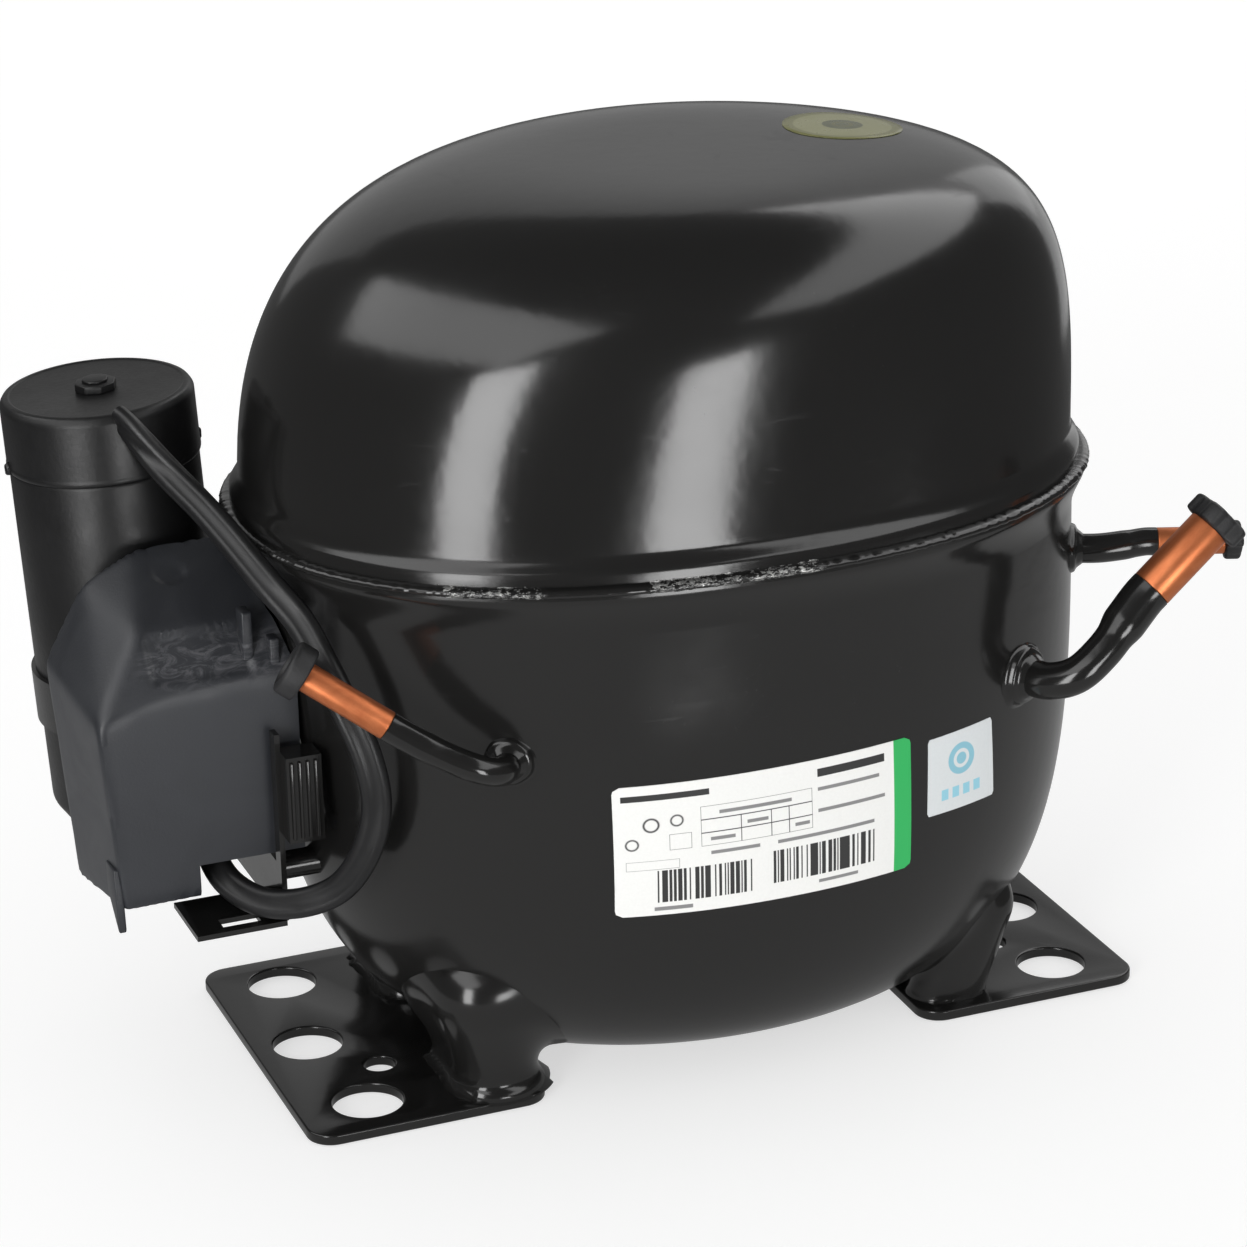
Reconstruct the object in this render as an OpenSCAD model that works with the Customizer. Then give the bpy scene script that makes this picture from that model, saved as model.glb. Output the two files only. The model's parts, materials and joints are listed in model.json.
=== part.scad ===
// Hermetic reciprocating compressor: a welded oval housing on two base plates, with the motor,
// crank and piston hung on springs inside, and the starting gear on its left end.
// Millimetres. Z is up and z = 0 is the surface that the base plates stand on. X is the long way of
// the housing, with the starting gear at -X. The rating label side is -Y. The origin is the middle
// of the foot hole pattern.

/* [Housing] */
// Half length of the housing below its shoulder
half_length = 95; // [93:0.5:97]
// Half width of the housing below its shoulder
half_width = 70.4; // [69:0.2:72]
// Height of the top of the dome
dome_top = 201; // [197:1:206]
// Height of the weld seam
seam_z = 128; // [127:0.5:129]
// Lowest point of the housing
bottom_z = 2; // [1:0.5:4]
// Sheet thickness of the housing
wall = 3; // [2.5:0.1:3.2]

/* [Base plates] */
// Distance between the foot hole rows, left to right
foot_spacing_x = 170; // [168:0.5:172]
// Distance between the front and the back foot holes
foot_spacing_y = 64; // [62:0.5:66]
// Diameter of the foot holes
foot_hole_d = 16; // [15:0.5:17]
// Outboard shift of the middle foot hole
middle_hole_shift = 3.8; // [3:0.1:4.5]
// Thickness of the base plates
plate_t = 2.5; // [2:0.1:3]
// Length of a base plate, front to back
plate_length = 90; // [86:1:94]
// Width of a base plate
plate_width = 55.5; // [54:0.5:57]

/* [Pump] */
// Crank throw, half of the stroke
throw = 10; // [9.5:0.1:10]
// Cylinder bore diameter
bore_d = 26.06; // [26.04:0.01:26.1]
// Centre distance of the connecting rod
rod_length = 46; // [45.5:0.1:46]
// Air gap between rotor and stator
air_gap = 0.4; // [0.3:0.1:0.8]

/* [Starting gear] */
// Diameter of the start capacitor
capacitor_d = 43; // [41:0.5:43]
// Lean of the start capacitor away from the housing, in degrees
capacitor_lean = 3; // [2:0.5:3.5]
// Wall of the terminal cover
cover_wall = 2; // [1.6:0.1:2.2]

/* [Hidden] */
$fn = 48;

// Housing outline: the dome and the bowl are stacks of ovals. An oval of exponent 2 is an ellipse,
// and a little more than 2 squares it slightly.
ring_points = 56;
oval_low = 2.22;
oval_end = 1.99;
dome_start = seam_z + 2.6;
dome_p_long = 2.9;
dome_q_long = 4.4;
dome_p_wide = 5.3;
dome_q_wide = 6;
dome_shift = 10;
bowl_start = seam_z - 2.4;
bowl_p = 3.7;
bowl_q = 4.3;
bowl_shift = 4.5;
seam_gap = 1.2;
upper_lip = 1.8;
lower_lip = 3;
upper_lip_h = 4.5;
lower_lip_h = 8.5;

// Pump layout, from the crank axis and the height of the cylinder axis
crank_x = -12;
cylinder_z = 146;
spring_z = [25, 43];
spring_at = [for (sx = [-42, 42], sy = [-30, 30]) [crank_x + sx, sy]];
stator_z = [49, 95];
stator_half = [50, 46];
stator_bore_r = 29;
plate_z = [119, 129];
bearing_r = 8.04;
shaft_r = 8;
pin_r = 7;
web_z = [129.4, 137];
pin_top_z = 140.6;
rod_z = [141, 151];
piston_r = bore_d / 2 - 0.05;
crown_x = crank_x + throw + rod_length + 12;
block_end_x = crown_x + 0.3;
gasket_t = 0.8;
valve_x = block_end_x + gasket_t;
valve_t = 3;
head_x = valve_x + valve_t + gasket_t;
head_t = 14;
head_half_y = 23;
head_half_z = 21;
head_bolt_at = [for (sy = [-18, 18], sz = [-16, 16]) [sy, cylinder_z + sz]];
reed_t = 0.4;
reed_pivot_drop = 14;

// Tubes: the root on the housing, and the straight end that is left bare copper
suction_r = 4.85;
suction_bore_r = 4.1;
pipe_r = 3.175;
pipe_bore_r = 2.375;
suction_root = [64.5, -55.8, 88];
suction_out = [0.5, -0.866, 0];
suction_start = [90.7, -64.4, 107.3];
suction_dir = [0.748, -0.016, 0.663];
suction_len = 18.5;
discharge_root = [89, -29.8, 105.5];
discharge_out = [0.884, -0.468, 0];
discharge_start = [107.6, -35.8, 106.3];
discharge_dir = [0.95, -0.312, -0.02];
discharge_len = 15.5;
process_root = [-58.3, -57.4, 89.5];
process_out = [-0.5, -0.866, 0];
process_start = [-84.3, -56.6, 101.9];
process_dir = [-0.759, 0.347, 0.551];
process_len = 20;

// Straight stretch of the painted tube just before the bare end
bare_lead_in = 1.2;
// Hand-set routes of the bent tubes, from inside the housing to the straight stretch
suction_route = [
    suction_root - 9 * suction_out, suction_root, [67.5, -61.6, 88.2], [72, -65.6, 90.4],
    [78, -66.3, 95.2], [84, -65.2, 101],
    suction_start - bare_lead_in * unit(suction_dir)
];
discharge_route = [
    discharge_root - 6 * discharge_out, discharge_root, [94.5, -32.6, 105.6],
    [100.5, -34.2, 106],
    discharge_start - bare_lead_in * unit(discharge_dir)
];
process_route = [
    process_root - 8 * process_out, process_root, [-61.6, -62.6, 89.9], [-66.5, -64, 91.6],
    [-74, -61.4, 95.2],
    process_start - bare_lead_in * unit(process_dir)
];
// Route of the capacitor's flat lead
lead_route = [
    [-118.6, 17, 152], [-117.6, 14.6, 150.8], [-111.8, 8, 142.2], [-106.2, -1.2, 135.3],
    [-103.1, -11.2, 130.8], [-99.6, -22.6, 125.1], [-94.5, -30, 117.6], [-92.1, -37, 110.6],
    [-89.1, -42, 101.7], [-85.6, -45, 90.8], [-83.9, -45, 79], [-86, -43, 68],
    [-91, -38, 58], [-98.4, -32, 53.3], [-105.3, -25, 52.2], [-110, -17, 54.5],
    [-111.6, -11, 59], [-112, -10, 66]
];
lead_half_w = 3.7;
lead_half_t = 1.9;
// Route of the inner discharge pipe
loop_route = [
    [-46, -22, 159.2], [-45, -23, 165], [-40, -29, 169.5], [-26, -40, 170], [-6, -49, 167],
    [20, -53, 160], [42, -49, 150], [56, -40, 138], [63, -30, 124], [69, -22.5, 112],
    [76, -23, 106], [79.6, -24.8, 105.5], discharge_root - 6.1 * discharge_out
];

// Starting gear layout
terminal_at = [-95, -3, 80];
cup_r = 14;
wall_x = -98.6;
capacitor_top = [-118.5, 37, 153];
capacitor_h = 100;
cap_h = 16;

// ---------------------------------------------------------------- helpers

function unit(v) = v / norm(v);
function oval(a, b, n, cx, z) = [
    for (i = [0 : ring_points - 1])
        let (c = cos(i * 360 / ring_points), s = sin(i * 360 / ring_points))
        [cx + a * sign(c) * pow(abs(c), 2 / n), b * sign(s) * pow(abs(s), 2 / n), z]
];
function spread(t, p, q) = pow(max(1 - pow(t, p), 0), 1 / q);
function lip(d, height, width) = width * pow(max(1 - d / height, 0), 2);

// One oval of the dome, w inside its outer face
function dome_oval(z, w) =
    let (t = max(0, min(1, (z - dome_start) / (dome_top - w - dome_start))),
         e = lip(z - seam_z - seam_gap, upper_lip_h, upper_lip) - w)
    oval(half_length * spread(t, dome_p_long, dome_q_long) + e * (1 - t),
         (half_width - 0.2) * spread(t, dome_p_wide, dome_q_wide) + e * (1 - t),
         oval_low + (oval_end - oval_low) * t, dome_shift * t * t, z);
function dome_height(angle, w) =
    dome_start + (dome_top - w - dome_start) * pow(sin(angle), 2 / dome_p_long);
// One oval of the bowl, w inside its outer face
function bowl_oval(z, w) =
    let (t = max(0, min(1, (bowl_start - z) / (bowl_start - bottom_z - w))),
         e = lip(seam_z - z, lower_lip_h, lower_lip) - w)
    oval((half_length + 0.4) * spread(t, bowl_p, bowl_q) + e * (1 - t),
         half_width * spread(t, bowl_p, bowl_q) + e * (1 - t),
         oval_low + (oval_end - oval_low) * t, bowl_shift * t, z);
function bowl_height(angle, w) =
    bowl_start - (bowl_start - bottom_z - w) * pow(sin(angle), 2 / bowl_p);

// A closed cup between a stack of outer rings and a stack of inner rings, both from the rim to the
// tip. flip turns the faces round for a cup that opens upwards.
module cup(outer, inner, outer_tip, inner_tip, flip) {
    n = ring_points;
    k = len(outer);
    points = concat([for (r = outer) each r], [for (r = inner) each r], [outer_tip, inner_tip]);
    side = [for (r = [0 : k - 2], i = [0 : n - 1])
        [r * n + i, (r + 1) * n + i, (r + 1) * n + (i + 1) % n, r * n + (i + 1) % n]];
    tip = [for (i = [0 : n - 1]) [(k - 1) * n + i, 2 * k * n, (k - 1) * n + (i + 1) % n]];
    rim = [for (i = [0 : n - 1]) [i, (i + 1) % n, k * n + (i + 1) % n, k * n + i]];
    inside = [for (f = side) [for (j = [len(f) - 1 : -1 : 0]) f[j] + k * n]];
    inside_tip = [for (i = [0 : n - 1])
        [(2 * k - 1) * n + (i + 1) % n, 2 * k * n + 1, (2 * k - 1) * n + i]];
    faces = concat(side, tip, rim, inside, inside_tip);
    polyhedron(points, flip ? [for (f = faces) [for (j = [len(f) - 1 : -1 : 0]) f[j]]] : faces,
        convexity = 4);
}

// A smooth curve through points, with k steps between neighbours
function curve_at(a, b, c, d, t) =
    0.5 * (2 * b + (c - a) * t + (2 * a - 5 * b + 4 * c - d) * t * t
        + (3 * b - a - 3 * c + d) * t * t * t);
function smooth(p, k) = concat(
    [for (i = [0 : len(p) - 2], j = [0 : k - 1])
        curve_at(p[max(i - 1, 0)], p[i], p[i + 1], p[min(i + 2, len(p) - 1)], j / k)],
    [p[len(p) - 1]]);
function heading(p, i) = unit(p[min(i + 1, len(p) - 1)] - p[max(i - 1, 0)]);
function section_at(p, i, section, across) =
    let (t = heading(p, i), s = unit(cross(t, across)), u = cross(s, t))
    [for (q = section) p[i] + s * q[0] + u * q[1]];
function round_section(r, sides, squash = 1) =
    [for (i = [0 : sides - 1]) [r * cos(i * 360 / sides), squash * r * sin(i * 360 / sides)]];
// A solid bar of one section along a path. across is never along the path.
module bar(path, section, across) {
    m = len(section);
    k = len(path);
    polyhedron([for (i = [0 : k - 1]) each section_at(path, i, section, across)],
        concat(
            [for (i = [0 : k - 2], j = [0 : m - 1])
                [i * m + j, i * m + (j + 1) % m, (i + 1) * m + (j + 1) % m, (i + 1) * m + j]],
            [[for (j = [m - 1 : -1 : 0]) j], [for (j = [0 : m - 1]) (k - 1) * m + j]]),
        convexity = 6);
}
// A pipe along a path, open at both ends
module pipe(path, r, bore_r, across, sides = 16) {
    k = len(path);
    m = sides;
    outer = [for (i = [0 : k - 1]) each section_at(path, i, round_section(r, m), across)];
    inner = [for (i = [0 : k - 1]) each section_at(path, i, round_section(bore_r, m), across)];
    o = k * m;
    e = (k - 1) * m;
    polyhedron(concat(outer, inner),
        concat(
            [for (i = [0 : k - 2], j = [0 : m - 1])
                [i * m + j, i * m + (j + 1) % m, (i + 1) * m + (j + 1) % m, (i + 1) * m + j]],
            [for (i = [0 : k - 2], j = [0 : m - 1])
                [o + i * m + j, o + (i + 1) * m + j, o + (i + 1) * m + (j + 1) % m,
                    o + i * m + (j + 1) % m]],
            [for (j = [0 : m - 1]) [j, o + j, o + (j + 1) % m, (j + 1) % m]],
            [for (j = [0 : m - 1]) [e + j, e + (j + 1) % m, o + e + (j + 1) % m, o + e + j]]),
        convexity = 6);
}

// Children with their Z axis along v, from p
module along(p, v) {
    translate(p) rotate([0, acos(v[2] / norm(v)), atan2(v[1], v[0])]) children();
}
module bar_x(x0, x1, y, z, r) { translate([x0, y, z]) rotate([0, 90, 0]) cylinder(r = r, h = x1 - x0); }
module tube_z(z0, z1, r, bore_r) {
    translate([0, 0, z0]) difference() {
        cylinder(r = r, h = z1 - z0);
        translate([0, 0, -1]) cylinder(r = bore_r, h = z1 - z0 + 2);
    }
}
module box(lo, hi) { translate(lo) cube(hi - lo); }
module at_crank() { translate([crank_x, 0, 0]) children(); }
// A flat plate in the YZ plane with round corners, from x0 to x1
module end_plate(x0, x1, half_y, half_z, corner_r) {
    translate([x0, 0, cylinder_z]) rotate([90, 0, 90]) linear_extrude(x1 - x0)
        round_box(half_y, half_z, corner_r);
}
module round_box(hx, hy, r) {
    square([2 * hx, 2 * (hy - r)], center = true);
    square([2 * (hx - r), 2 * hy], center = true);
    for (sx = [-1, 1], sy = [-1, 1]) translate([sx * (hx - r), sy * (hy - r)]) circle(r = r);
}

// ---------------------------------------------------------------- housing

dome_lip_z = [seam_z + seam_gap, seam_z + 2.2, seam_z + 3.4, seam_z + 5.7];
dome_angles = [16, 28, 38, 47, 55, 62, 68, 74, 79, 83, 86, 88.6];
bowl_lip_z = [seam_z, seam_z - 1.6, seam_z - 3.2, seam_z - 5, seam_z - 8.5];
bowl_angles = [20, 31, 41, 50, 58, 65, 71, 76, 80.5, 84, 87, 89];

module upper_shell() {
    color([0.05, 0.05, 0.05])
    cup([for (z = dome_lip_z) dome_oval(z, 0), for (a = dome_angles) dome_oval(dome_height(a, 0), 0)],
        [for (z = dome_lip_z) dome_oval(z, wall),
            for (a = dome_angles) dome_oval(dome_height(a, wall), wall)],
        [dome_shift, 0, dome_top], [dome_shift, 0, dome_top - wall], false);
}

// The outer form of the bowl, filled
module bowl_form() {
    n = ring_points;
    rings = concat([for (z = bowl_lip_z) bowl_oval(z, 0)],
        [for (a = bowl_angles) bowl_oval(bowl_height(a, 0), 0)]);
    k = len(rings);
    polyhedron(concat([for (r = rings) each r], [[bowl_shift, 0, bottom_z]]),
        concat(
            [for (r = [0 : k - 2], i = [0 : n - 1])
                [r * n + (i + 1) % n, (r + 1) * n + (i + 1) % n, (r + 1) * n + i, r * n + i]],
            [for (i = [0 : n - 1]) [(k - 1) * n + (i + 1) % n, k * n, (k - 1) * n + i]],
            [[for (i = [0 : n - 1]) i]]),
        convexity = 2);
}
module lower_shell() {
    color([0.06, 0.06, 0.06])
    difference() {
        cup([for (z = bowl_lip_z) bowl_oval(z, 0),
                for (a = bowl_angles) bowl_oval(bowl_height(a, 0), 0)],
            [for (z = bowl_lip_z) bowl_oval(z, wall),
                for (a = bowl_angles) bowl_oval(bowl_height(a, wall), wall)],
            [bowl_shift, 0, bottom_z], [bowl_shift, 0, bottom_z + wall], true);
        along(suction_root - 12 * suction_out, suction_out) cylinder(r = collar_r[0], h = 20);
        along(discharge_root - 12 * discharge_out, discharge_out) cylinder(r = collar_r[1], h = 20);
        along(process_root - 12 * process_out, process_out) cylinder(r = collar_r[2], h = 20);
        bar_x(-104, -84, terminal_at[1], terminal_at[2], cup_r);
    }
}

// The weld bead fills the gap between the two lips
module weld_seam() {
    n = ring_points;
    bead = [[-wall, 0], [-wall, seam_gap], [0.2, seam_gap], [0.9, seam_gap / 2], [0.2, 0]];
    m = len(bead);
    a = half_length + 0.4 + lower_lip;
    b = half_width + lower_lip;
    color([0.2, 0.2, 0.2])
    polyhedron(
        [for (q = bead) each oval(a + q[0], b + q[0], oval_low, 0, seam_z + q[1])],
        [for (j = [0 : m - 1], i = [0 : n - 1])
            [j * n + i, j * n + (i + 1) % n, ((j + 1) % m) * n + (i + 1) % n, ((j + 1) % m) * n + i]],
        convexity = 4);
}

collar_r = [7.5, 6.6, 6.2];
module collar(root, out, r, bore_r) {
    along(root - 3.4 * out, out) difference() {
        cylinder(r = r, h = 6.4);
        translate([0, 0, -1]) cylinder(r = bore_r, h = 9);
    }
}
module tube_collars() {
    color([0.05, 0.05, 0.05]) {
        collar(suction_root, suction_out, collar_r[0], suction_r + 0.25);
        collar(discharge_root, discharge_out, collar_r[1], pipe_r + 0.25);
        collar(process_root, process_out, collar_r[2], pipe_r + 0.25);
    }
}

// A horn is pressed up from the plate to carry the housing: a rounded wedge
module horn(foot, top) {
    hull() {
        for (p = foot) translate([p[0], p[1], plate_t - 0.2]) cylinder(r = p[2], h = 0.4, $fn = 24);
        for (p = top) translate([p[0], p[1], p[2]]) sphere(r = p[3], $fn = 20);
    }
}
plate_outer_x = foot_spacing_x / 2 + 16.5;
plate_inner_x = plate_outer_x - plate_width;
// The right plate. The left one is its mirror image.
module base_plate() {
    hole_r = foot_hole_d / 2;
    difference() {
        translate([(plate_outer_x + plate_inner_x) / 2, 0, 0])
            linear_extrude(plate_t) round_box(plate_width / 2, plate_length / 2, 6);
        for (s = [-1, 1])
            translate([foot_spacing_x / 2, s * foot_spacing_y / 2, -1]) cylinder(r = hole_r, h = 9);
        translate([foot_spacing_x / 2 + middle_hole_shift, 0, -1]) cylinder(r = hole_r, h = 9);
        translate([77, -16.3, -1]) cylinder(r = 3.6, h = 9);
    }
}
// The raised horns end on the housing, which is cut out of them
module horns() {
    difference() {
        for (s = [-1, 1])
            horn([[74, s * 19, 6], [62.5, s * 32.5, 6.5], [49, s * 31, 6]],
                [[67, s * 36, 21, 5], [59, s * 41, 22, 5], [43, s * 43, 11.5, 5]]);
        bowl_form();
    }
}
module left_horns() {
    difference() {
        for (s = [-1, 1])
            horn([[-57, s * 26, 6], [-55.5, s * 35, 7], [-41, s * 31, 6]],
                [[-58.5, s * 38, 20, 5], [-52, s * 41.5, 18, 5], [-38, s * 40, 9, 5]]);
        bowl_form();
    }
}
module left_base_plate() {
    color([0.06, 0.06, 0.06]) {
        mirror([1, 0, 0]) base_plate();
        left_horns();
    }
}
module right_base_plate() {
    color([0.06, 0.06, 0.06]) {
        base_plate();
        horns();
    }
}

// ---------------------------------------------------------------- tubes

module suction_tube() {
    color([0.05, 0.05, 0.05]) pipe(concat(smooth(suction_route, 3), [suction_start]),
        suction_r, suction_bore_r, [0, 1, 0.3]);
}
module discharge_tube() {
    color([0.05, 0.05, 0.05]) pipe(concat(smooth(discharge_route, 3), [discharge_start]),
        pipe_r, pipe_bore_r, [0, 0.1, 1]);
}
module process_tube() {
    color([0.05, 0.05, 0.05]) pipe(concat(smooth(process_route, 3), [process_start]),
        pipe_r, pipe_bore_r, [0, 0.1, 1]);
}
module copper_end(start, dir, length, r, bore_r) {
    color([0.85, 0.42, 0.2]) along(start, dir) tube_z(0.05, length, r, bore_r);
}
module suction_tube_end() {
    copper_end(suction_start, suction_dir, suction_len, suction_r, suction_bore_r);
}
module discharge_tube_end() {
    copper_end(discharge_start, discharge_dir, discharge_len, pipe_r, pipe_bore_r);
}
module process_tube_end() {
    copper_end(process_start, process_dir, process_len, pipe_r, pipe_bore_r);
}
// A rubber stopper: a stem in the tube and a lobed head outside
module stopper(start, dir, length, bore_r, head_r, lobes) {
    color([0.12, 0.12, 0.12]) along(start + length * unit(dir), dir) {
        translate([0, 0, -8]) cylinder(r = bore_r - 0.05, h = 8.5);
        translate([0, 0, 0.1]) cylinder(r = head_r, h = 6);
        for (i = [0 : 1 : lobes - 1])
            rotate([0, 0, i * 360 / lobes]) translate([head_r - 0.8, 0, 0.6])
                cylinder(r = 2.2, h = 6.6);
    }
}
module suction_plug() {
    stopper(suction_start, suction_dir, suction_len, suction_bore_r, 5.2, 5);
}
module discharge_plug() {
    stopper(discharge_start, discharge_dir, discharge_len, pipe_bore_r, 3.8, 5);
}
module process_plug() {
    difference() {
        stopper(process_start, process_dir, process_len, pipe_bore_r, 5.6, 0);
        color([0.12, 0.12, 0.12]) along(process_start + (process_len + 3) * unit(process_dir),
            process_dir) cylinder(r = 4.2, h = 9);
    }
}

// ---------------------------------------------------------------- starting gear

terminal_pin_at = [for (i = [0 : 2]) [6.5 * sin(i * 120), 6.5 * cos(i * 120)]];
module terminal_cup() {
    color([0.6, 0.6, 0.6]) difference() {
        bar_x(-97.6, -90, terminal_at[1], terminal_at[2], cup_r);
        bar_x(-99, -92.5, terminal_at[1], terminal_at[2], cup_r - 2.6);
        for (p = terminal_pin_at)
            bar_x(-99, -80, terminal_at[1] + p[0], terminal_at[2] + p[1], 3.4);
    }
}
module terminal_glass() {
    color([0.2, 0.35, 0.3]) for (p = terminal_pin_at) difference() {
        bar_x(-93.2, -89.4, terminal_at[1] + p[0], terminal_at[2] + p[1], 3.4);
        bar_x(-99, -80, terminal_at[1] + p[0], terminal_at[2] + p[1], 1.6);
    }
}
module terminal_pins() {
    color([0.75, 0.75, 0.75]) for (p = terminal_pin_at)
        bar_x(-103, -82, terminal_at[1] + p[0], terminal_at[2] + p[1], 1.6);
}
// Pressed steel bracket below and beside the terminal, with a ledge under the cover
module terminal_bracket() {
    t = 1.2;
    color([0.07, 0.07, 0.07]) {
        box([wall_x - t, -24.5, 46], [wall_x, 19, 59]);
        box([wall_x - t, 14.3, 46], [wall_x, 19, 104]);
        box([wall_x - t, -24.5, 46], [wall_x, -21, 90]);
        box([wall_x - 0.1, -29, 66], [-90.8, -22, 86]);
        difference() {
            box([-120, -27, 46], [wall_x - t + 0.1, -8, 46 + t]);
            box([-113.5, -24.5, 45], [-105, -20.5, 49]);
        }
        bar_x(wall_x - 0.1, -87.4, -11, 53, 3.2);
        bar_x(wall_x - 0.1, -86.8, 12, 53, 3.2);
        bar_x(wall_x - 0.1, -91, 16.6, 100, 2.2);
    }
}
module start_relay() {
    color([0.06, 0.06, 0.06]) difference() {
        union() {
            box([-119, -16.6, 66], [-103.5, -2.6, 94]);
            box([-103.6, -12, 73], [-100.6, -0.9, 91]);
            box([-118, -14, 93.9], [-108, -10, 99]);
            box([-116, -7, 93.9], [-106, -3.4, 97]);
        }
        for (p = terminal_pin_at)
            bar_x(-106, -99, terminal_at[1] + p[0], terminal_at[2] + p[1], 1.65);
    }
}
module overload_protector() {
    color([0.1, 0.1, 0.1]) {
        bar_x(-116, -104, 4.4, 74, 6.6);
        difference() {
            bar_x(-104.1, -101, 4.4, 75.5, 4.6);
            bar_x(-104, -99, terminal_at[1] + terminal_pin_at[1][0],
                terminal_at[2] + terminal_pin_at[1][1], 1.65);
        }
        box([-117.9, 3.6, 76], [-115.9, 5.4, 88]);
    }
}
// Children in the capacitor's own frame: its top face at z = 0
module at_capacitor() { translate(capacitor_top) rotate([0, -capacitor_lean, 0]) children(); }
module capacitor_body() {
    color([0.05, 0.05, 0.05]) at_capacitor() rotate_extrude() polygon([
        [0, -capacitor_h], [capacitor_d / 2 - 2.5, -capacitor_h],
        [capacitor_d / 2 - 0.4, -capacitor_h + 2], [capacitor_d / 2 - 0.4, -cap_h],
        [0, -cap_h]
    ]);
}
module capacitor_cap() {
    color([0.05, 0.05, 0.05]) at_capacitor() {
        rotate_extrude() polygon([
            [0, -cap_h + 0.02], [capacitor_d / 2, -cap_h + 0.02], [capacitor_d / 2, -1.2],
            [capacitor_d / 2 - 1.2, 0], [0, 0]
        ]);
        translate([-4, -3, -0.1]) cube([8, 6, 2.1]);
        for (s = [-1, 1]) translate([s * (capacitor_d / 2 + 0.2), 0, -cap_h + 0.4])
            cylinder(r = 0.8, h = 3);
    }
}
// Spring steel strap that holds the capacitor to the bracket
module capacitor_strap() {
    color([0.08, 0.08, 0.08]) {
        at_capacitor() translate([0, 0, -76]) difference() {
            cylinder(r = capacitor_d / 2 + 0.6, h = 12);
            translate([0, 0, -1]) cylinder(r = capacitor_d / 2 - 0.4, h = 14);
        }
        box([-101.2, 14.3, 78.5], [wall_x - 1.2, 20.8, 87.5]);
    }
}
// The flat twin lead, from the capacitor's cap to the underside of the relay
module capacitor_lead() {
    color([0.05, 0.05, 0.05]) bar(smooth(lead_route, 3),
        [[lead_half_w, 0], [lead_half_w * 0.7, lead_half_t], [0, lead_half_t * 0.8],
            [-lead_half_w * 0.7, lead_half_t], [-lead_half_w, 0],
            [-lead_half_w * 0.7, -lead_half_t], [0, -lead_half_t * 0.8],
            [lead_half_w * 0.7, -lead_half_t]], [0.34, 0.87, -0.36]);
}

// Corner spheres of the moulded cover: [x, y, z]
cover_r = 3.5;
cover_corners = [
    [-134.3, -16.5, 96], [-131, -16.5, 55.2], [-123.6, -16.5, 100], [-90, -16.5, 101.5],
    [-123.6, -9, 110.4], [-90, -9, 111], [-136.8, 10, 99.5], [-128.8, 10, 113.8],
    [-122, 10, 117.3], [-90, 10, 119.5], [-133, 10, 51.2], [-90, -16.5, 56], [-90, 10, 55]
];
module cover_form(r) {
    hull() for (c = cover_corners) translate(c) sphere(r = r, $fn = 24);
}
module terminal_cover() {
    color([0.22, 0.23, 0.25]) {
        difference() {
            cover_form(cover_r);
            cover_form(cover_r - cover_wall);
            // the open side towards the housing
            translate([0, 0, 40]) linear_extrude(90) polygon([
                [-92.6, -25], [-92.6, -19], [-95.9, -10], [-95.9, 20], [-60, 20], [-60, -25]
            ]);
            // the open stretch of the bottom, for the lead and the ledge
            box([-116.5, -30, 40], [-80, 20, 60.4]);
        }
        // pointed skirt below the left wall
        translate([-135.4, 0, 0]) rotate([90, 0, 90]) linear_extrude(1.8)
            polygon([[-17.9, 62], [-19.4, 47.5], [-11.5, 55], [-11.5, 62]]);
        // clip fingers
        box([-103.4, -16.9, 105], [-101, -12.2, 116]);
        box([-97.8, -18.3, 101.5], [-95.6, -14.2, 109.5]);
        // round boss on the front wall
        translate([-94.6, -19.7, 65.6]) rotate([90, 0, 0]) cylinder(r = 2.2, h = 1.2);
    }
}

// ---------------------------------------------------------------- inside: fixed to the housing

module lower_spring_pins() {
    color([0.3, 0.3, 0.32]) for (p = spring_at) translate([p[0], p[1], 0]) {
        stud_z = p[0] < crank_x ? 14.6 : 5.5;
        translate([0, 0, stud_z]) cylinder(r = 2.5, h = spring_z[0] - 1 - stud_z);
        translate([0, 0, spring_z[0] - 2]) cylinder(r = 8, h = 2);
        translate([0, 0, spring_z[0] - 0.1]) cylinder(r = 4.8, h = 6.6);
    }
}
module terminal_plug() {
    color([0.85, 0.85, 0.8]) difference() {
        box([-88.6, -14, 70], [-82, 8, 92]);
        for (p = terminal_pin_at)
            bar_x(-90, -80, terminal_at[1] + p[0], terminal_at[2] + p[1], 1.65);
    }
}
module motor_leads() {
    color([0.8, 0.2, 0.15]) for (i = [-1 : 1])
        bar(smooth([
            [-81.9, -3 + 5 * i, 88], [-78, -3 + 5 * i, 89], [-73, -3 + 5 * i, 96],
            [-68, -2 + 5 * i, 104], [-61, -1 + 4 * i, 110], [-54, 4 * i, 111.5],
            [-51, 4 * i, 109.9]
        ], 3), round_section(1.2, 8), [0, 1, 0]);
}

// ---------------------------------------------------------------- inside: the hung pump

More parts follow.
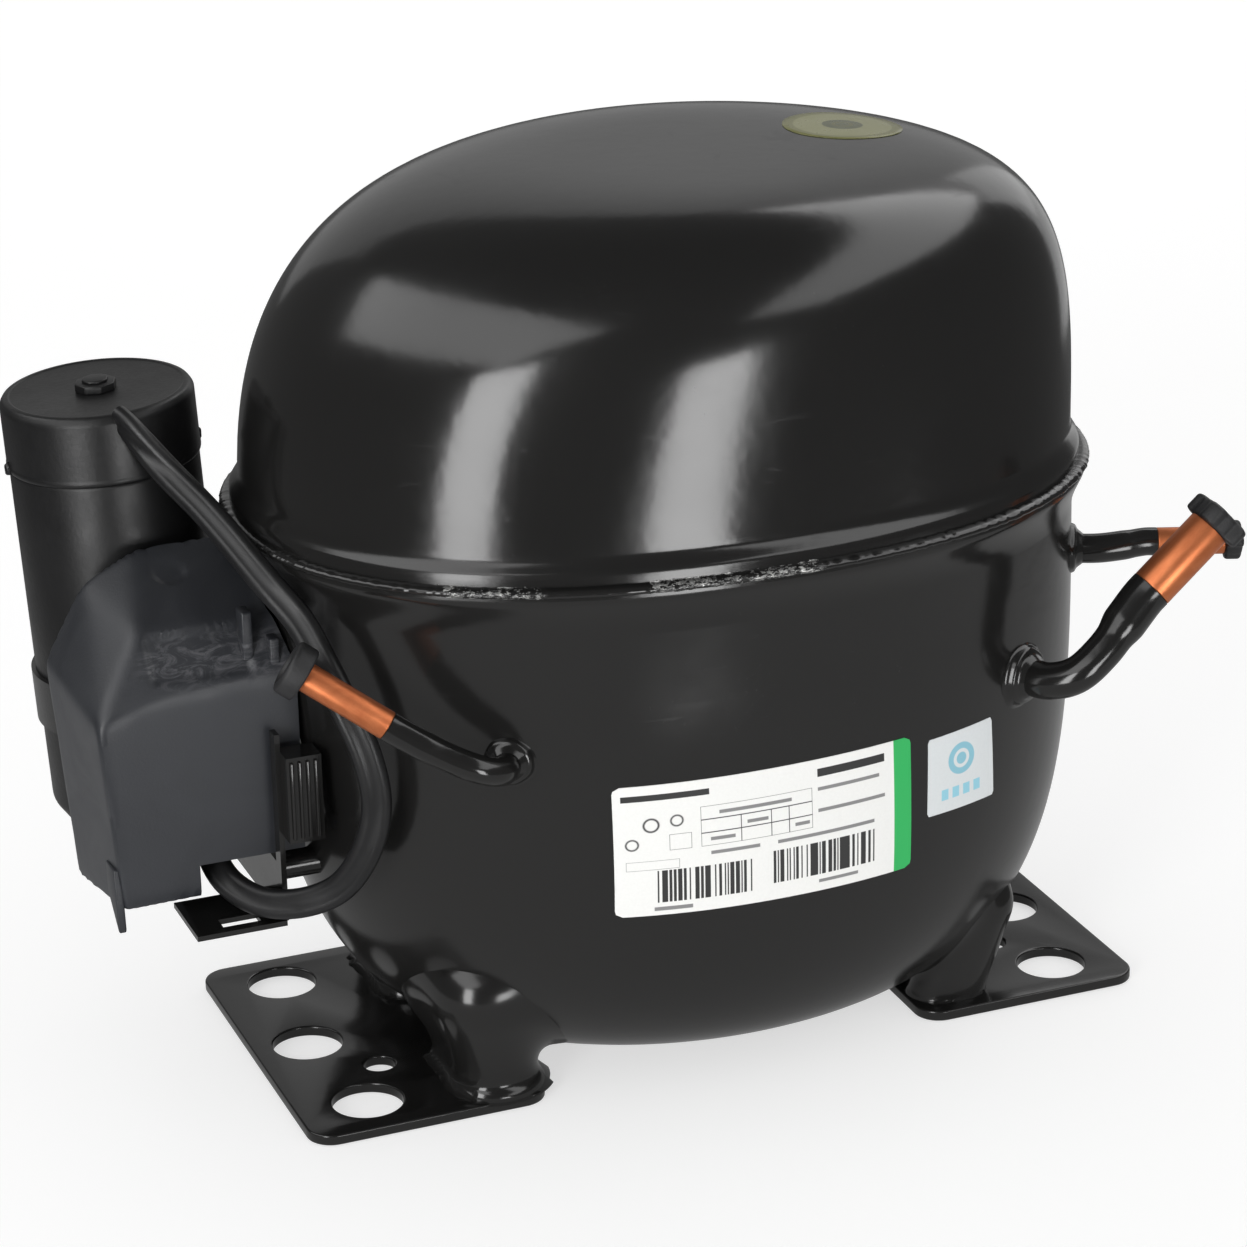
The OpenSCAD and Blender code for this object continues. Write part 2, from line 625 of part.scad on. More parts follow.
module crankcase() {
    color([0.45, 0.46, 0.47]) difference() {
        union() {
            at_crank() translate([6, 0, plate_z[0]])
                linear_extrude(plate_z[1] - plate_z[0]) round_box(54, 38, 10);
            at_crank() translate([0, 0, 101]) cylinder(r = 15, h = 20);
            for (p = spring_at) translate([p[0], p[1], stator_z[1]])
                cylinder(r = 6.4, h = plate_z[1] - stator_z[1]);
            box([crank_x + 27, -head_half_y, plate_z[1] - 1],
                [block_end_x, head_half_y, cylinder_z + head_half_z]);
        }
        at_crank() translate([0, 0, 90]) cylinder(r = bearing_r, h = 60);
        at_crank() translate([0, 0, plate_z[1]]) cylinder(r = 25, h = 60);
        bar_x(crank_x + 20, block_end_x + 1, 0, cylinder_z, bore_d / 2);
        for (p = spring_at) translate([p[0], p[1], stator_z[1] - 1]) cylinder(r = 3, h = 22);
        for (p = head_bolt_at) bar_x(block_end_x - 16, block_end_x + 1, p[0], p[1], 2.5);
        // lightening pockets in the plate
        for (s = [-1, 1]) at_crank() translate([-22, s * 18, plate_z[0] - 1]) cylinder(r = 7, h = 14);
    }
}
module stator_core() {
    hx = stator_half[0];
    hy = stator_half[1];
    color([0.35, 0.36, 0.38]) at_crank() translate([0, 0, stator_z[0]]) difference() {
        linear_extrude(stator_z[1] - stator_z[0]) polygon([
            [hx, hy - 12], [hx - 12, hy], [12 - hx, hy], [-hx, hy - 12],
            [-hx, 12 - hy], [12 - hx, -hy], [hx - 12, -hy], [hx, 12 - hy]
        ]);
        translate([0, 0, -1]) cylinder(r = stator_bore_r, h = 60);
        for (sx = [-42, 42], sy = [-30, 30]) translate([sx, sy, -1]) cylinder(r = 3.2, h = 60);
        // winding slots
        for (i = [0 : 11]) rotate([0, 0, i * 30 + 15])
            translate([stator_bore_r - 1, -2.2, -1]) cube([11, 4.4, 60]);
    }
}
module stator_windings() {
    color([0.72, 0.35, 0.15]) at_crank() {
        for (z = [35, stator_z[1] + 0.05]) translate([0, 0, z]) rotate_extrude() polygon([
            [31.5, 0], [39.5, 0], [42, 3], [42, 10], [39.5, 13.9], [33, 13.9], [30.6, 11], [30.6, 3]
        ]);
        for (i = [0 : 11]) rotate([0, 0, i * 30 + 15])
            translate([stator_bore_r + 2, -2, 48.6]) cube([7.6, 4, 47]);
    }
}
module stator_bolts() {
    color([0.6, 0.6, 0.6]) for (p = spring_at) translate([p[0], p[1], 0]) {
        translate([0, 0, 45]) cylinder(r = 5, h = 4, $fn = 6);
        translate([0, 0, 48.9]) cylinder(r = 3, h = 64);
    }
}
module gasket(x0) {
    difference() {
        end_plate(x0, x0 + gasket_t, head_half_y, head_half_z, 5);
        for (p = head_bolt_at) bar_x(x0 - 1, x0 + 2, p[0], p[1], 2.7);
        children();
    }
}
module cylinder_gasket() {
    x0 = block_end_x;
    color([0.25, 0.3, 0.25]) gasket(x0) {
        bar_x(x0 - 1, x0 + 2, 0, cylinder_z, bore_d / 2 + 1.6);
        box([x0 - 1, -6, cylinder_z - reed_pivot_drop - 2], [x0 + 2, 6, cylinder_z]);
    }
}
// The head gasket keeps the suction and the discharge chamber apart
module head_gasket() {
    x0 = valve_x + valve_t;
    color([0.25, 0.3, 0.25]) gasket(x0) {
        box([x0 - 1, -12, cylinder_z + 1.5], [x0 + 2, 12, cylinder_z + 12]);
        box([x0 - 1, -12, cylinder_z - 16.5], [x0 + 2, 12, cylinder_z - 1.5]);
    }
}
module valve_plate() {
    color([0.62, 0.63, 0.65]) difference() {
        end_plate(valve_x, valve_x + valve_t, head_half_y, head_half_z, 5);
        bar_x(valve_x - 1, valve_x + 9, 0, cylinder_z + 4, 2.6);
        bar_x(valve_x - 1, valve_x + 9, 0, cylinder_z - 7, 2.2);
        for (p = head_bolt_at) bar_x(valve_x - 1, valve_x + 9, p[0], p[1], 2.7);
    }
}
// The head's two chambers are cut from the gasket side
module cylinder_head() {
    color([0.55, 0.56, 0.57]) difference() {
        end_plate(head_x, head_x + head_t, head_half_y, head_half_z, 5);
        box([head_x - 1, -12, cylinder_z + 1.5], [head_x + 9, 12, cylinder_z + 12]);
        box([head_x - 1, -12, cylinder_z - 16.5], [head_x + 9, 12, cylinder_z - 1.5]);
        for (p = head_bolt_at) bar_x(head_x - 1, head_x + head_t + 1, p[0], p[1], 2.7);
    }
}
module head_bolts() {
    color([0.65, 0.65, 0.65]) for (p = head_bolt_at) {
        bar_x(block_end_x - 14, head_x + head_t + 0.1, p[0], p[1], 2.5);
        translate([head_x + head_t, p[0], p[1]]) rotate([0, 90, 0]) cylinder(r = 4.6, h = 4, $fn = 6);
    }
}
module suction_muffler() {
    color([0.8, 0.78, 0.7]) difference() {
        union() {
            translate([50, 34, cylinder_z - 8]) linear_extrude(34) round_box(11, 11, 4);
            translate([50, 34, cylinder_z + 25]) cylinder(r = 5, h = 8);
        }
        translate([50, 34, cylinder_z - 6]) cylinder(r = 9, h = 30);
        translate([50, 34, cylinder_z + 20]) cylinder(r = 3, h = 14);
    }
}
module discharge_muffler() {
    color([0.5, 0.5, 0.5]) translate([-46, -22, plate_z[1]]) difference() {
        union() {
            cylinder(r = 11, h = 24);
            translate([0, 0, 23]) cylinder(r1 = 11, r2 = 4, h = 5);
            translate([0, 0, 27]) cylinder(r = 4, h = 3);
        }
        translate([0, 0, 2]) cylinder(r = 9, h = 21);
        translate([0, 0, 20]) cylinder(r = 2, h = 20);
    }
}
module discharge_loop() {
    color([0.7, 0.45, 0.3]) bar(smooth(loop_route, 3), round_section(2.4, 10), [0.35, 0.1, 1]);
}
coil_turns = 5;
module suspension_springs() {
    z0 = spring_z[0] + 0.7;
    rise = spring_z[1] - spring_z[0] - 1.4;
    steps = coil_turns * 12;
    color([0.7, 0.7, 0.72]) for (p = spring_at)
        bar([for (i = [0 : steps]) [p[0] + 6.5 * cos(i * 30), p[1] + 6.5 * sin(i * 30),
            z0 + rise * i / steps]], round_section(0.68, 6), [0, 0, 1]);
}
module upper_spring_pins() {
    color([0.3, 0.3, 0.32]) for (p = spring_at) translate([p[0], p[1], 0]) {
        translate([0, 0, spring_z[1]]) cylinder(r = 8, h = 2);
        translate([0, 0, spring_z[1] - 6.5]) cylinder(r = 4.8, h = 6.6);
    }
}

// ---------------------------------------------------------------- inside: what turns and slides

module crankshaft() {
    color([0.6, 0.6, 0.62]) at_crank() {
        difference() {
            union() {
                translate([0, 0, 44]) cylinder(r = shaft_r, h = 86);
                translate([0, 0, web_z[0]]) cylinder(r = 17.4, h = web_z[1] - web_z[0]);
                translate([throw, 0, web_z[1] - 0.1]) cylinder(r = pin_r, h = pin_top_z - web_z[1] + 0.1);
            }
            translate([0, 0, 40]) cylinder(r = 3, h = 60);
        }
    }
}
rotor_r = stator_bore_r - air_gap;
cage_bar_at = [for (i = [0 : 15]) (rotor_r - 3.6) * [cos(i * 22.5), sin(i * 22.5)]];
module rotor_core() {
    color([0.4, 0.41, 0.43]) at_crank() translate([0, 0, 50]) difference() {
        cylinder(r = rotor_r, h = 44);
        translate([0, 0, -1]) cylinder(r = shaft_r, h = 60);
        for (p = cage_bar_at) translate([p[0], p[1], -1]) cylinder(r = 1.8, h = 60);
    }
}
module rotor_cage() {
    color([0.75, 0.76, 0.78]) at_crank() {
        translate([0, 0, 0]) tube_z(45, 50, rotor_r - 1, 18);
        translate([0, 0, 0]) tube_z(94, 98, rotor_r - 1, 18);
        for (p = cage_bar_at) translate([p[0], p[1], 49.9]) cylinder(r = 1.8, h = 44.2);
    }
}
module counterweight() {
    color([0.5, 0.5, 0.52]) at_crank() intersection() {
        difference() {
            translate([0, 0, web_z[0]]) cylinder(r = 22.5, h = 6.6);
            translate([0, 0, web_z[0] - 1]) cylinder(r = 17.4, h = 10);
        }
        box([-30, -20, web_z[0] - 1], [-2, 20, web_z[1] + 5]);
    }
}
module oil_pickup() {
    color([0.65, 0.65, 0.66]) at_crank() difference() {
        union() {
            translate([0, 0, 14]) cylinder(r1 = 3, r2 = 5, h = 16);
            translate([0, 0, 29.9]) cylinder(r = 5, h = 14.1);
        }
        translate([0, 0, 13]) cylinder(r = 1.8, h = 40);
    }
}
wrist_x = crown_x - 12;
wrist_r = 4;
module piston() {
    color([0.6, 0.61, 0.62]) difference() {
        bar_x(crown_x - 24, crown_x, 0, cylinder_z, piston_r);
        box([crown_x - 25, -9, cylinder_z - 5.6], [crown_x - 4, 9, cylinder_z + 5.6]);
        translate([wrist_x, 0, cylinder_z - 20]) cylinder(r = wrist_r, h = 40);
        // relief in the crown for the suction reed
        box([crown_x - 1.4, -5.4, cylinder_z - 20], [crown_x + 1, 5.4, cylinder_z + 9]);
    }
}
module wrist_pin() {
    color([0.75, 0.75, 0.77]) translate([wrist_x, 0, cylinder_z - 11]) cylinder(r = wrist_r, h = 22);
}
module connecting_rod() {
    big_x = wrist_x - rod_length;
    h = rod_z[1] - rod_z[0];
    color([0.58, 0.59, 0.6]) translate([0, 0, rod_z[0]]) difference() {
        union() {
            translate([big_x, 0, 0]) cylinder(r = 11, h = h);
            translate([wrist_x, 0, 0]) cylinder(r = 7, h = h);
            translate([big_x, -3.6, 1.5]) cube([rod_length, 7.2, h - 3]);
        }
        translate([big_x, 0, -1]) cylinder(r = pin_r + 0.05, h = h + 2);
        translate([wrist_x, 0, -1]) cylinder(r = wrist_r + 0.05, h = h + 2);
    }
}
// A reed: a flat spring leaf with a rolled root. x0 is its face nearest the piston.
module reed(x0, root_z, length) {
    translate([x0 + reed_t / 2, -4, root_z]) rotate([-90, 0, 0]) cylinder(r = reed_t / 2, h = 8);
    box([x0, -4, root_z], [x0 + reed_t, 4, root_z + length]);
}
module suction_reed() {
    color([0.7, 0.7, 0.72])
    difference() {
        reed(valve_x - 0.05 - reed_t, cylinder_z - reed_pivot_drop, 21.5);
        bar_x(valve_x - 1, valve_x + 1, 0, cylinder_z - 7, 2.6);
    }
}
module discharge_reed() {
    color([0.7, 0.7, 0.72])
    reed(valve_x + valve_t + 0.05, cylinder_z - reed_pivot_drop, 11);
}
// Stop plate that limits the discharge reed, on a post at each end
module reed_stop() {
    x0 = valve_x + valve_t;
    color([0.6, 0.6, 0.62]) {
        box([x0 + 1.7, -5, cylinder_z - 15.4], [x0 + 2.7, 5, cylinder_z - 3]);
        for (s = [-1, 1]) box([x0, s * 7.4 - 2.6, cylinder_z - 15.4],
            [x0 + 2.7, s * 7.4 + 2.6, cylinder_z - 13]);
    }
}

lower_shell();
upper_shell();
weld_seam();
left_base_plate();
right_base_plate();
suction_tube();
suction_tube_end();
discharge_tube();
discharge_tube_end();
process_tube();
process_tube_end();
tube_collars();
terminal_cup();
terminal_glass();
terminal_pins();
terminal_bracket();
start_relay();
overload_protector();
capacitor_body();
capacitor_cap();
capacitor_strap();
capacitor_lead();
lower_spring_pins();
terminal_plug();
motor_leads();
terminal_cover();
suction_plug();
discharge_plug();
process_plug();
crankcase();
stator_core();
stator_windings();
stator_bolts();
cylinder_gasket();
valve_plate();
head_gasket();
cylinder_head();
head_bolts();
suction_muffler();
discharge_muffler();
discharge_loop();
suspension_springs();
upper_spring_pins();
crankshaft();
rotor_core();
rotor_cage();
counterweight();
oil_pickup();
piston();
wrist_pin();
connecting_rod();
suction_reed();
discharge_reed();
reed_stop();
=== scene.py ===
"""Looks of the hermetic reciprocating compressor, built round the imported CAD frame."""

import json
import math
from contextlib import contextmanager

import bmesh
import bpy
import numpy as np
from mathutils import Matrix, Vector, noise as mnoise


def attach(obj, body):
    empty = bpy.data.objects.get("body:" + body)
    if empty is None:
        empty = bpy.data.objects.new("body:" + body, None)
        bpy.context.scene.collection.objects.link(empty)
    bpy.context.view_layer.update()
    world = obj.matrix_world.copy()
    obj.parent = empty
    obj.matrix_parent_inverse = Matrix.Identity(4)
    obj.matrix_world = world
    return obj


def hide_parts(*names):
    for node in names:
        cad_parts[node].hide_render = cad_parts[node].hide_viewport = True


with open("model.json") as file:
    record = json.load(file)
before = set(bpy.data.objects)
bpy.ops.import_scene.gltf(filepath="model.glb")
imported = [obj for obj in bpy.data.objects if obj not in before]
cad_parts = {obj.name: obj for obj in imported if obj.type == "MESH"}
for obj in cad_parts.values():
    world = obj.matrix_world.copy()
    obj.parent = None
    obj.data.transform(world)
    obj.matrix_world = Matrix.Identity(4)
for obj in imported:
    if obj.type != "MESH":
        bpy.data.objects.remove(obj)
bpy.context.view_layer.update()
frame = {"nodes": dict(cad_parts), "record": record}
MM = 0.001
NODES = frame["nodes"]

# ------------------------------------------------------------------ camera

AZIMUTH, ELEVATION, ROLL = (math.radians(a) for a in (21.34, 21.33, -1.17))
CAMERA_AT = Vector((-319.5, -794.3, 425.4)) * MM
LENS, SENSOR = 116.3, 36


def make_camera():
    look = Vector((math.sin(AZIMUTH) * math.cos(ELEVATION),
                   math.cos(AZIMUTH) * math.cos(ELEVATION), -math.sin(ELEVATION)))
    right = Vector((math.cos(AZIMUTH), -math.sin(AZIMUTH), 0))
    up = right.cross(look)
    right_r = right * math.cos(ROLL) + up * math.sin(ROLL)
    up_r = up * math.cos(ROLL) - right * math.sin(ROLL)
    data = bpy.data.cameras.new("camera")
    data.lens = LENS
    data.sensor_width = SENSOR
    data.clip_start = 0.02
    data.clip_end = 50
    cam = bpy.data.objects.new("camera", data)
    bpy.context.scene.collection.objects.link(cam)
    basis = Matrix((right_r, up_r, -look)).transposed().to_4x4()
    basis.translation = CAMERA_AT
    cam.matrix_world = basis
    bpy.context.scene.camera = cam


make_camera()

# ------------------------------------------------------------------ materials


class Mat:
    """A node material with a Principled shader and short helpers."""

    def __init__(self, name):
        self.m = bpy.data.materials.new(name)
        self.m.use_nodes = True
        self.nt = self.m.node_tree
        self.out = self.nt.nodes["Material Output"]
        self.b = self.nt.nodes["Principled BSDF"]
        self.coord = self.nt.nodes.new("ShaderNodeTexCoord").outputs["Object"]

    def node(self, kind, **props):
        n = self.nt.nodes.new(kind)
        for k, v in props.items():
            setattr(n, k, v)
        return n

    def link(self, a, b):
        self.nt.links.new(a, b)

    def put(self, socket, value):
        if isinstance(value, bpy.types.NodeSocket):
            self.link(value, socket)
        elif value is not None:
            socket.default_value = value

    def set(self, **values):
        for k, v in values.items():
            self.put(self.b.inputs[k.replace("_", " ")], v)
        return self

    def math(self, op, a, b=None, c=None, clamp=False):
        n = self.node("ShaderNodeMath", operation=op, use_clamp=clamp)
        for i, v in enumerate((a, b, c)):
            if v is not None:
                self.put(n.inputs[i], v)
        return n.outputs[0]

    def mul(self, first, *rest):
        for value in rest:
            first = self.math("MULTIPLY", first, value)
        return first

    def add(self, a, b):
        return self.math("ADD", a, b)

    def window(self, value, start, full, fade, end):
        """1 from full to fade, falling to 0 at start and at end."""
        return self.mul(self.ramp(value, start, full), self.ramp(value, end, fade))

    def scaled(self, scale, coord=None):
        n = self.node("ShaderNodeMapping")
        self.link(coord or self.coord, n.inputs["Vector"])
        n.inputs["Scale"].default_value = scale
        return n.outputs[0]

    def noise(self, scale, detail=4.0, rough=0.55, coord=None, distortion=0.0):
        n = self.node("ShaderNodeTexNoise")
        self.link(coord or self.coord, n.inputs["Vector"])
        n.inputs["Scale"].default_value = scale
        n.inputs["Detail"].default_value = detail
        n.inputs["Roughness"].default_value = rough
        n.inputs["Distortion"].default_value = distortion
        return n.outputs["Fac"]

    def bands(self, scale, axis="Z", distortion=0.0, coord=None):
        n = self.node("ShaderNodeTexWave", wave_type="BANDS", bands_direction=axis)
        self.link(coord or self.coord, n.inputs["Vector"])
        n.inputs["Scale"].default_value = scale
        n.inputs["Distortion"].default_value = distortion
        return n.outputs["Fac"]

    def ramp(self, value, lo, hi, to_lo=0.0, to_hi=1.0):
        n = self.node("ShaderNodeMapRange", clamp=True)
        self.put(n.inputs["Value"], value)
        for k, v in zip(("From Min", "From Max", "To Min", "To Max"), (lo, hi, to_lo, to_hi)):
            n.inputs[k].default_value = v
        return n.outputs[0]

    def mix(self, fac, a, b):
        n = self.node("ShaderNodeMix", data_type="RGBA")
        self.put(n.inputs[0], fac)
        for sock, v in ((n.inputs[6], a), (n.inputs[7], b)):
            self.put(sock, (*v, 1.0) if isinstance(v, tuple) and len(v) == 3 else v)
        return n.outputs[2]

    def bump(self, height, strength, distance=0.0005, normal=None):
        n = self.node("ShaderNodeBump")
        n.inputs["Strength"].default_value = strength
        n.inputs["Distance"].default_value = distance
        self.link(height, n.inputs["Height"])
        if normal is not None:
            self.link(normal, n.inputs["Normal"])
        return n.outputs[0]

    def axes(self, coord=None):
        n = self.node("ShaderNodeSeparateXYZ")
        self.link(coord or self.coord, n.inputs[0])
        return n.outputs[0], n.outputs[1], n.outputs[2]


def tint(c, k):
    return tuple(min(1.0, x * k) for x in c)


def enamel(name, chips=None):
    """Thick glossy black stove enamel: soft orange peel, dust, faint smudges and small scratches."""
    m = Mat(name)
    smudge = m.noise(28, 5, 0.6, distortion=0.6)
    dust = m.ramp(m.noise(2600, 2, 0.5), 0.70, 0.80)
    dust_zone = m.ramp(m.noise(40, 3), 0.45, 0.75)
    speck = m.mul(dust, dust_zone)
    colour = m.mix(m.mul(speck, 0.55), (0.0105, 0.0103, 0.0100), (0.10, 0.10, 0.10))
    scratch_at = m.scaled((60, 60, 420))
    scratch = m.ramp(m.noise(1.0, 3, 0.6, scratch_at, 1.2), 0.66, 0.68)
    rough = m.ramp(smudge, 0.3, 0.75, 0.13, 0.21)
    rough = m.add(rough, m.mul(scratch, 0.05))
    height = m.add(m.noise(330, 2, 0.4), m.mul(m.noise(95, 2, 0.4), 1.4))
    normal = m.bump(height, 0.05, 0.0004)
    metal = 0.0
    if chips:
        colour, rough, metal, normal = chips(m, colour, rough, normal)
    m.set(Base_Color=colour, Roughness=rough, Metallic=metal, Normal=normal)
    m.b.inputs["IOR"].default_value = 1.5
    return m.m


# Where the weld is chipped along x and up z, in metres: start, full, fade, end, and how much
CHIPPED = ((-0.078, -0.070, -0.053, -0.046, 1.0), (-0.036, -0.030, 0.006, 0.016, 1.0),
           (0.01, 0.02, 0.06, 0.075, 0.45))
CHIPPED_BAND = (0.1268, 0.1278, 0.1299, 0.1310)


def seam_chips(m, colour, rough, normal):
    """Bare bright metal where the enamel flaked off the weld, in three stretches of the front."""
    x, y, z = m.axes()
    stretches = [m.mul(m.window(x, *ends), share) if share < 1 else m.window(x, *ends)
                 for *ends, share in CHIPPED]
    front = m.ramp(y, -0.03, -0.042)
    zone = m.math("ADD", m.add(*stretches[:2]), stretches[2], clamp=True)
    zone = m.mul(zone, front, m.window(z, *CHIPPED_BAND))
    along = m.scaled((1.0, 1.0, 2.6))
    flakes = m.add(m.mul(m.noise(260, 5, 0.7, along), 0.5),
                    m.mul(m.noise(1100, 3, 0.65, along), 0.5))
    value = m.math("SUBTRACT", m.mul(zone, 0.53), m.math("SUBTRACT", 1.0, flakes))
    mask = m.ramp(value, 0.03, 0.085)
    bare = m.mix(m.ramp(m.noise(500, 4, 0.7), 0.4, 0.65), (0.16, 0.16, 0.16), (0.66, 0.66, 0.64))
    colour = m.mix(mask, colour, bare)
    rough = m.add(m.mul(mask, 0.22), rough)
    normal = m.bump(mask, 0.5, 0.0002, normal)
    return colour, rough, m.mul(mask, 0.85), normal


def generic(name, base, rough, metallic=0.0, mottle=(90, 0.25), grain=(1500, 0.06), stretch=None,
            bands=None, ior=1.5, dirt=0.0):
    """A plain material with colour variation, uneven gloss and a fine surface."""
    m = Mat(name)
    fine_at = m.scaled(stretch) if stretch else m.coord
    patch = m.noise(mottle[0], 5, 0.6)
    fine = m.noise(grain[0] if not stretch else 1.0, 3, 0.6, fine_at)
    shade = m.add(m.mul(patch, 0.7), m.mul(fine, 0.3))
    colour = m.mix(m.ramp(shade, 0.3, 0.7), tint(base, 1 - mottle[1]), tint(base, 1 + mottle[1]))
    height = fine
    if bands:
        wave = m.bands(bands[0], bands[1], bands[2])
        colour = m.mix(m.ramp(wave, 0.0, 0.5, 0.75, 0.0), colour, tint(base, 0.35))
        height = m.add(m.mul(wave, 3.0), fine)
    if dirt:
        spot = m.ramp(m.noise(35, 6, 0.65), 0.55, 0.72, 0.0, dirt)
        colour = m.mix(spot, colour, (0.05, 0.035, 0.02))
    m.set(Base_Color=colour, Roughness=m.ramp(shade, 0.3, 0.7, max(rough - 0.08, 0.03), rough + 0.08),
          Metallic=metallic, Normal=m.bump(height, grain[1] * 4, 0.0002))
    m.b.inputs["IOR"].default_value = ior
    return m.m


def copper(name):
    """Drawn bare copper with lengthwise streaks, tarnish and handling marks."""
    m = Mat(name)
    streak = m.noise(1.0, 4, 0.6, m.scaled((160, 900, 240)))
    stain = m.noise(120, 5, 0.65, distortion=0.8)
    colour = m.mix(m.ramp(streak, 0.3, 0.7), (0.56, 0.165, 0.062), (0.66, 0.215, 0.085))
    colour = m.mix(m.ramp(stain, 0.5, 0.8, 0, 0.5), colour, (0.42, 0.105, 0.04))
    m.set(Base_Color=colour, Metallic=0.85, Roughness=m.ramp(stain, 0.3, 0.7, 0.36, 0.46),
          Normal=m.bump(m.noise(2200, 2), 0.05, 0.0001))
    return m.m


def cover_plastic():
    """Satin dark grey moulding, scuffed along its upper chamfer."""
    m = Mat("cover_plastic")
    x, y, z = m.axes()
    grain = m.noise(1700, 3, 0.6)
    haze = m.noise(45, 5, 0.6, distortion=0.8)
    colour = m.mix(m.ramp(haze, 0.3, 0.7), (0.0175, 0.019, 0.023), (0.0255, 0.0275, 0.0325))
    zone = m.mul(m.window(z, 0.1005, 0.104, 0.108, 0.1125), m.ramp(x, -0.128, -0.122))
    scuff = m.noise(1.0, 6, 0.7, m.scaled((160, 160, 420)), 1.5)
    mark = m.mul(zone, m.ramp(scuff, 0.45, 0.62))
    colour = m.mix(m.mul(mark, 0.45), colour, (0.16, 0.16, 0.17))
    rough = m.math("SUBTRACT", m.ramp(haze, 0.3, 0.7, 0.36, 0.50), m.mul(mark, 0.14))
    height = m.add(grain, m.mul(m.mul(zone, scuff), 1.6))
    m.set(Base_Color=colour, Roughness=rough, Normal=m.bump(height, 0.16, 0.00025))
    return m.m


class Print:
    """Marks on a label: boxes, bars and rings in the label's own UV, u to the right and v up."""

    def __init__(self, name, paper, rough=0.42):
        self.m = Mat(name)
        self.uv = self.m.nt.nodes.new("ShaderNodeTexCoord").outputs["UV"]
        self.u, self.v, _ = self.m.axes(self.uv)
        fibre = self.m.noise(1800, 3)
        self.colour = self.m.mix(self.m.ramp(fibre, 0.3, 0.7, 0, 0.5), paper, tint(paper, 0.93))
        self.rough = rough

    def inside(self, value, lo, hi, soft=0.0006):
        return self.m.window(value, lo - soft, lo + soft, hi - soft, hi + soft)

    def area(self, u0, u1, v0, v1):
        return self.m.mul(self.inside(self.u, u0, u1), self.inside(self.v, v0, v1))

    def paint(self, mask, ink):
        self.colour = self.m.mix(mask, self.colour, ink)

    def box(self, u0, u1, v0, v1, ink=(0.03, 0.03, 0.03)):
        self.paint(self.area(u0, u1, v0, v1), ink)

    def frame(self, u0, u1, v0, v1, line=0.003, ink=(0.05, 0.05, 0.05)):
        outer = self.area(u0, u1, v0, v1)
        inner = self.area(u0 + line * 0.5, u1 - line * 0.5, v0 + line, v1 - line)
        self.paint(self.m.math("SUBTRACT", outer, inner), ink)

    def bars(self, u0, u1, v0, v1, pitch, share, seed, ink=(0.03, 0.03, 0.03)):
        """Upright bars of uneven width and spacing."""
        m = self.m
        at = m.node("ShaderNodeCombineXYZ")
        m.link(m.math("FLOOR", m.mul(self.u, 1 / pitch)), at.inputs[0])
        at.inputs[1].default_value = seed
        dice = m.node("ShaderNodeTexWhiteNoise", noise_dimensions="2D")
        m.link(at.outputs[0], dice.inputs["Vector"])
        on = m.math("LESS_THAN", dice.outputs["Value"], share)
        self.paint(m.mul(self.area(u0, u1, v0, v1), on), ink)

    def ring(self, u, v, r, width, aspect, ink):
        m = self.m
        du = m.mul(m.math("SUBTRACT", self.u, u), aspect)
        dv = m.math("SUBTRACT", self.v, v)
        d = m.math("SQRT", m.add(m.mul(du, du), m.mul(dv, dv)))
        self.paint(self.inside(d, r - width, r, 0.004), ink)

    def done(self):
        m = self.m
        wave = m.noise(150, 3)
        m.set(Base_Color=self.colour, Roughness=m.ramp(wave, 0.3, 0.7, self.rough - 0.06, self.rough + 0.06),
              Normal=m.bump(wave, 0.05, 0.0002))
        return m.m


GREY_INK = (0.22, 0.22, 0.22)


def rating_print():
    p = Print("rating_print", (0.80, 0.80, 0.78))
    p.box(0.025, 0.30, 0.885, 0.93)
    p.box(0.66, 0.90, 0.87, 0.93)
    p.frame(0.27, 0.64, 0.50, 0.80)
    for v in (0.70, 0.60):
        p.box(0.27, 0.64, v - 0.004, v + 0.004, (0.05, 0.05, 0.05))
    for u in (0.40, 0.50, 0.56):
        p.box(u - 0.0015, u + 0.0015, 0.50, 0.70, (0.05, 0.05, 0.05))
    for u0, u1, v in ((0.33, 0.57, 0.745), (0.30, 0.38, 0.55), (0.42, 0.49, 0.64), (0.58, 0.63, 0.55),
                      (0.66, 0.88, 0.78), (0.66, 0.90, 0.62), (0.30, 0.46, 0.445), (0.52, 0.86, 0.445)):
        p.box(u0, u1, v - 0.013, v + 0.013, GREY_INK)
    p.ring(0.115, 0.70, 0.055, 0.014, 2.1, (0.05, 0.05, 0.05))
    p.ring(0.195, 0.72, 0.045, 0.012, 2.1, (0.05, 0.05, 0.05))
    p.ring(0.055, 0.56, 0.045, 0.012, 2.1, (0.05, 0.05, 0.05))
    p.frame(0.17, 0.24, 0.50, 0.62)
    p.frame(0.035, 0.20, 0.36, 0.43, ink=GREY_INK)
    p.bars(0.13, 0.44, 0.10, 0.35, 0.0045, 0.55, 3.0)
    p.bars(0.50, 0.86, 0.13, 0.38, 0.0045, 0.55, 8.0)
    p.box(0.12, 0.24, 0.035, 0.065, GREY_INK)
    p.box(0.66, 0.80, 0.065, 0.09, GREY_INK)
    p.box(0.935, 1.1, -0.1, 1.1, (0.02, 0.42, 0.10))
    return p.done()


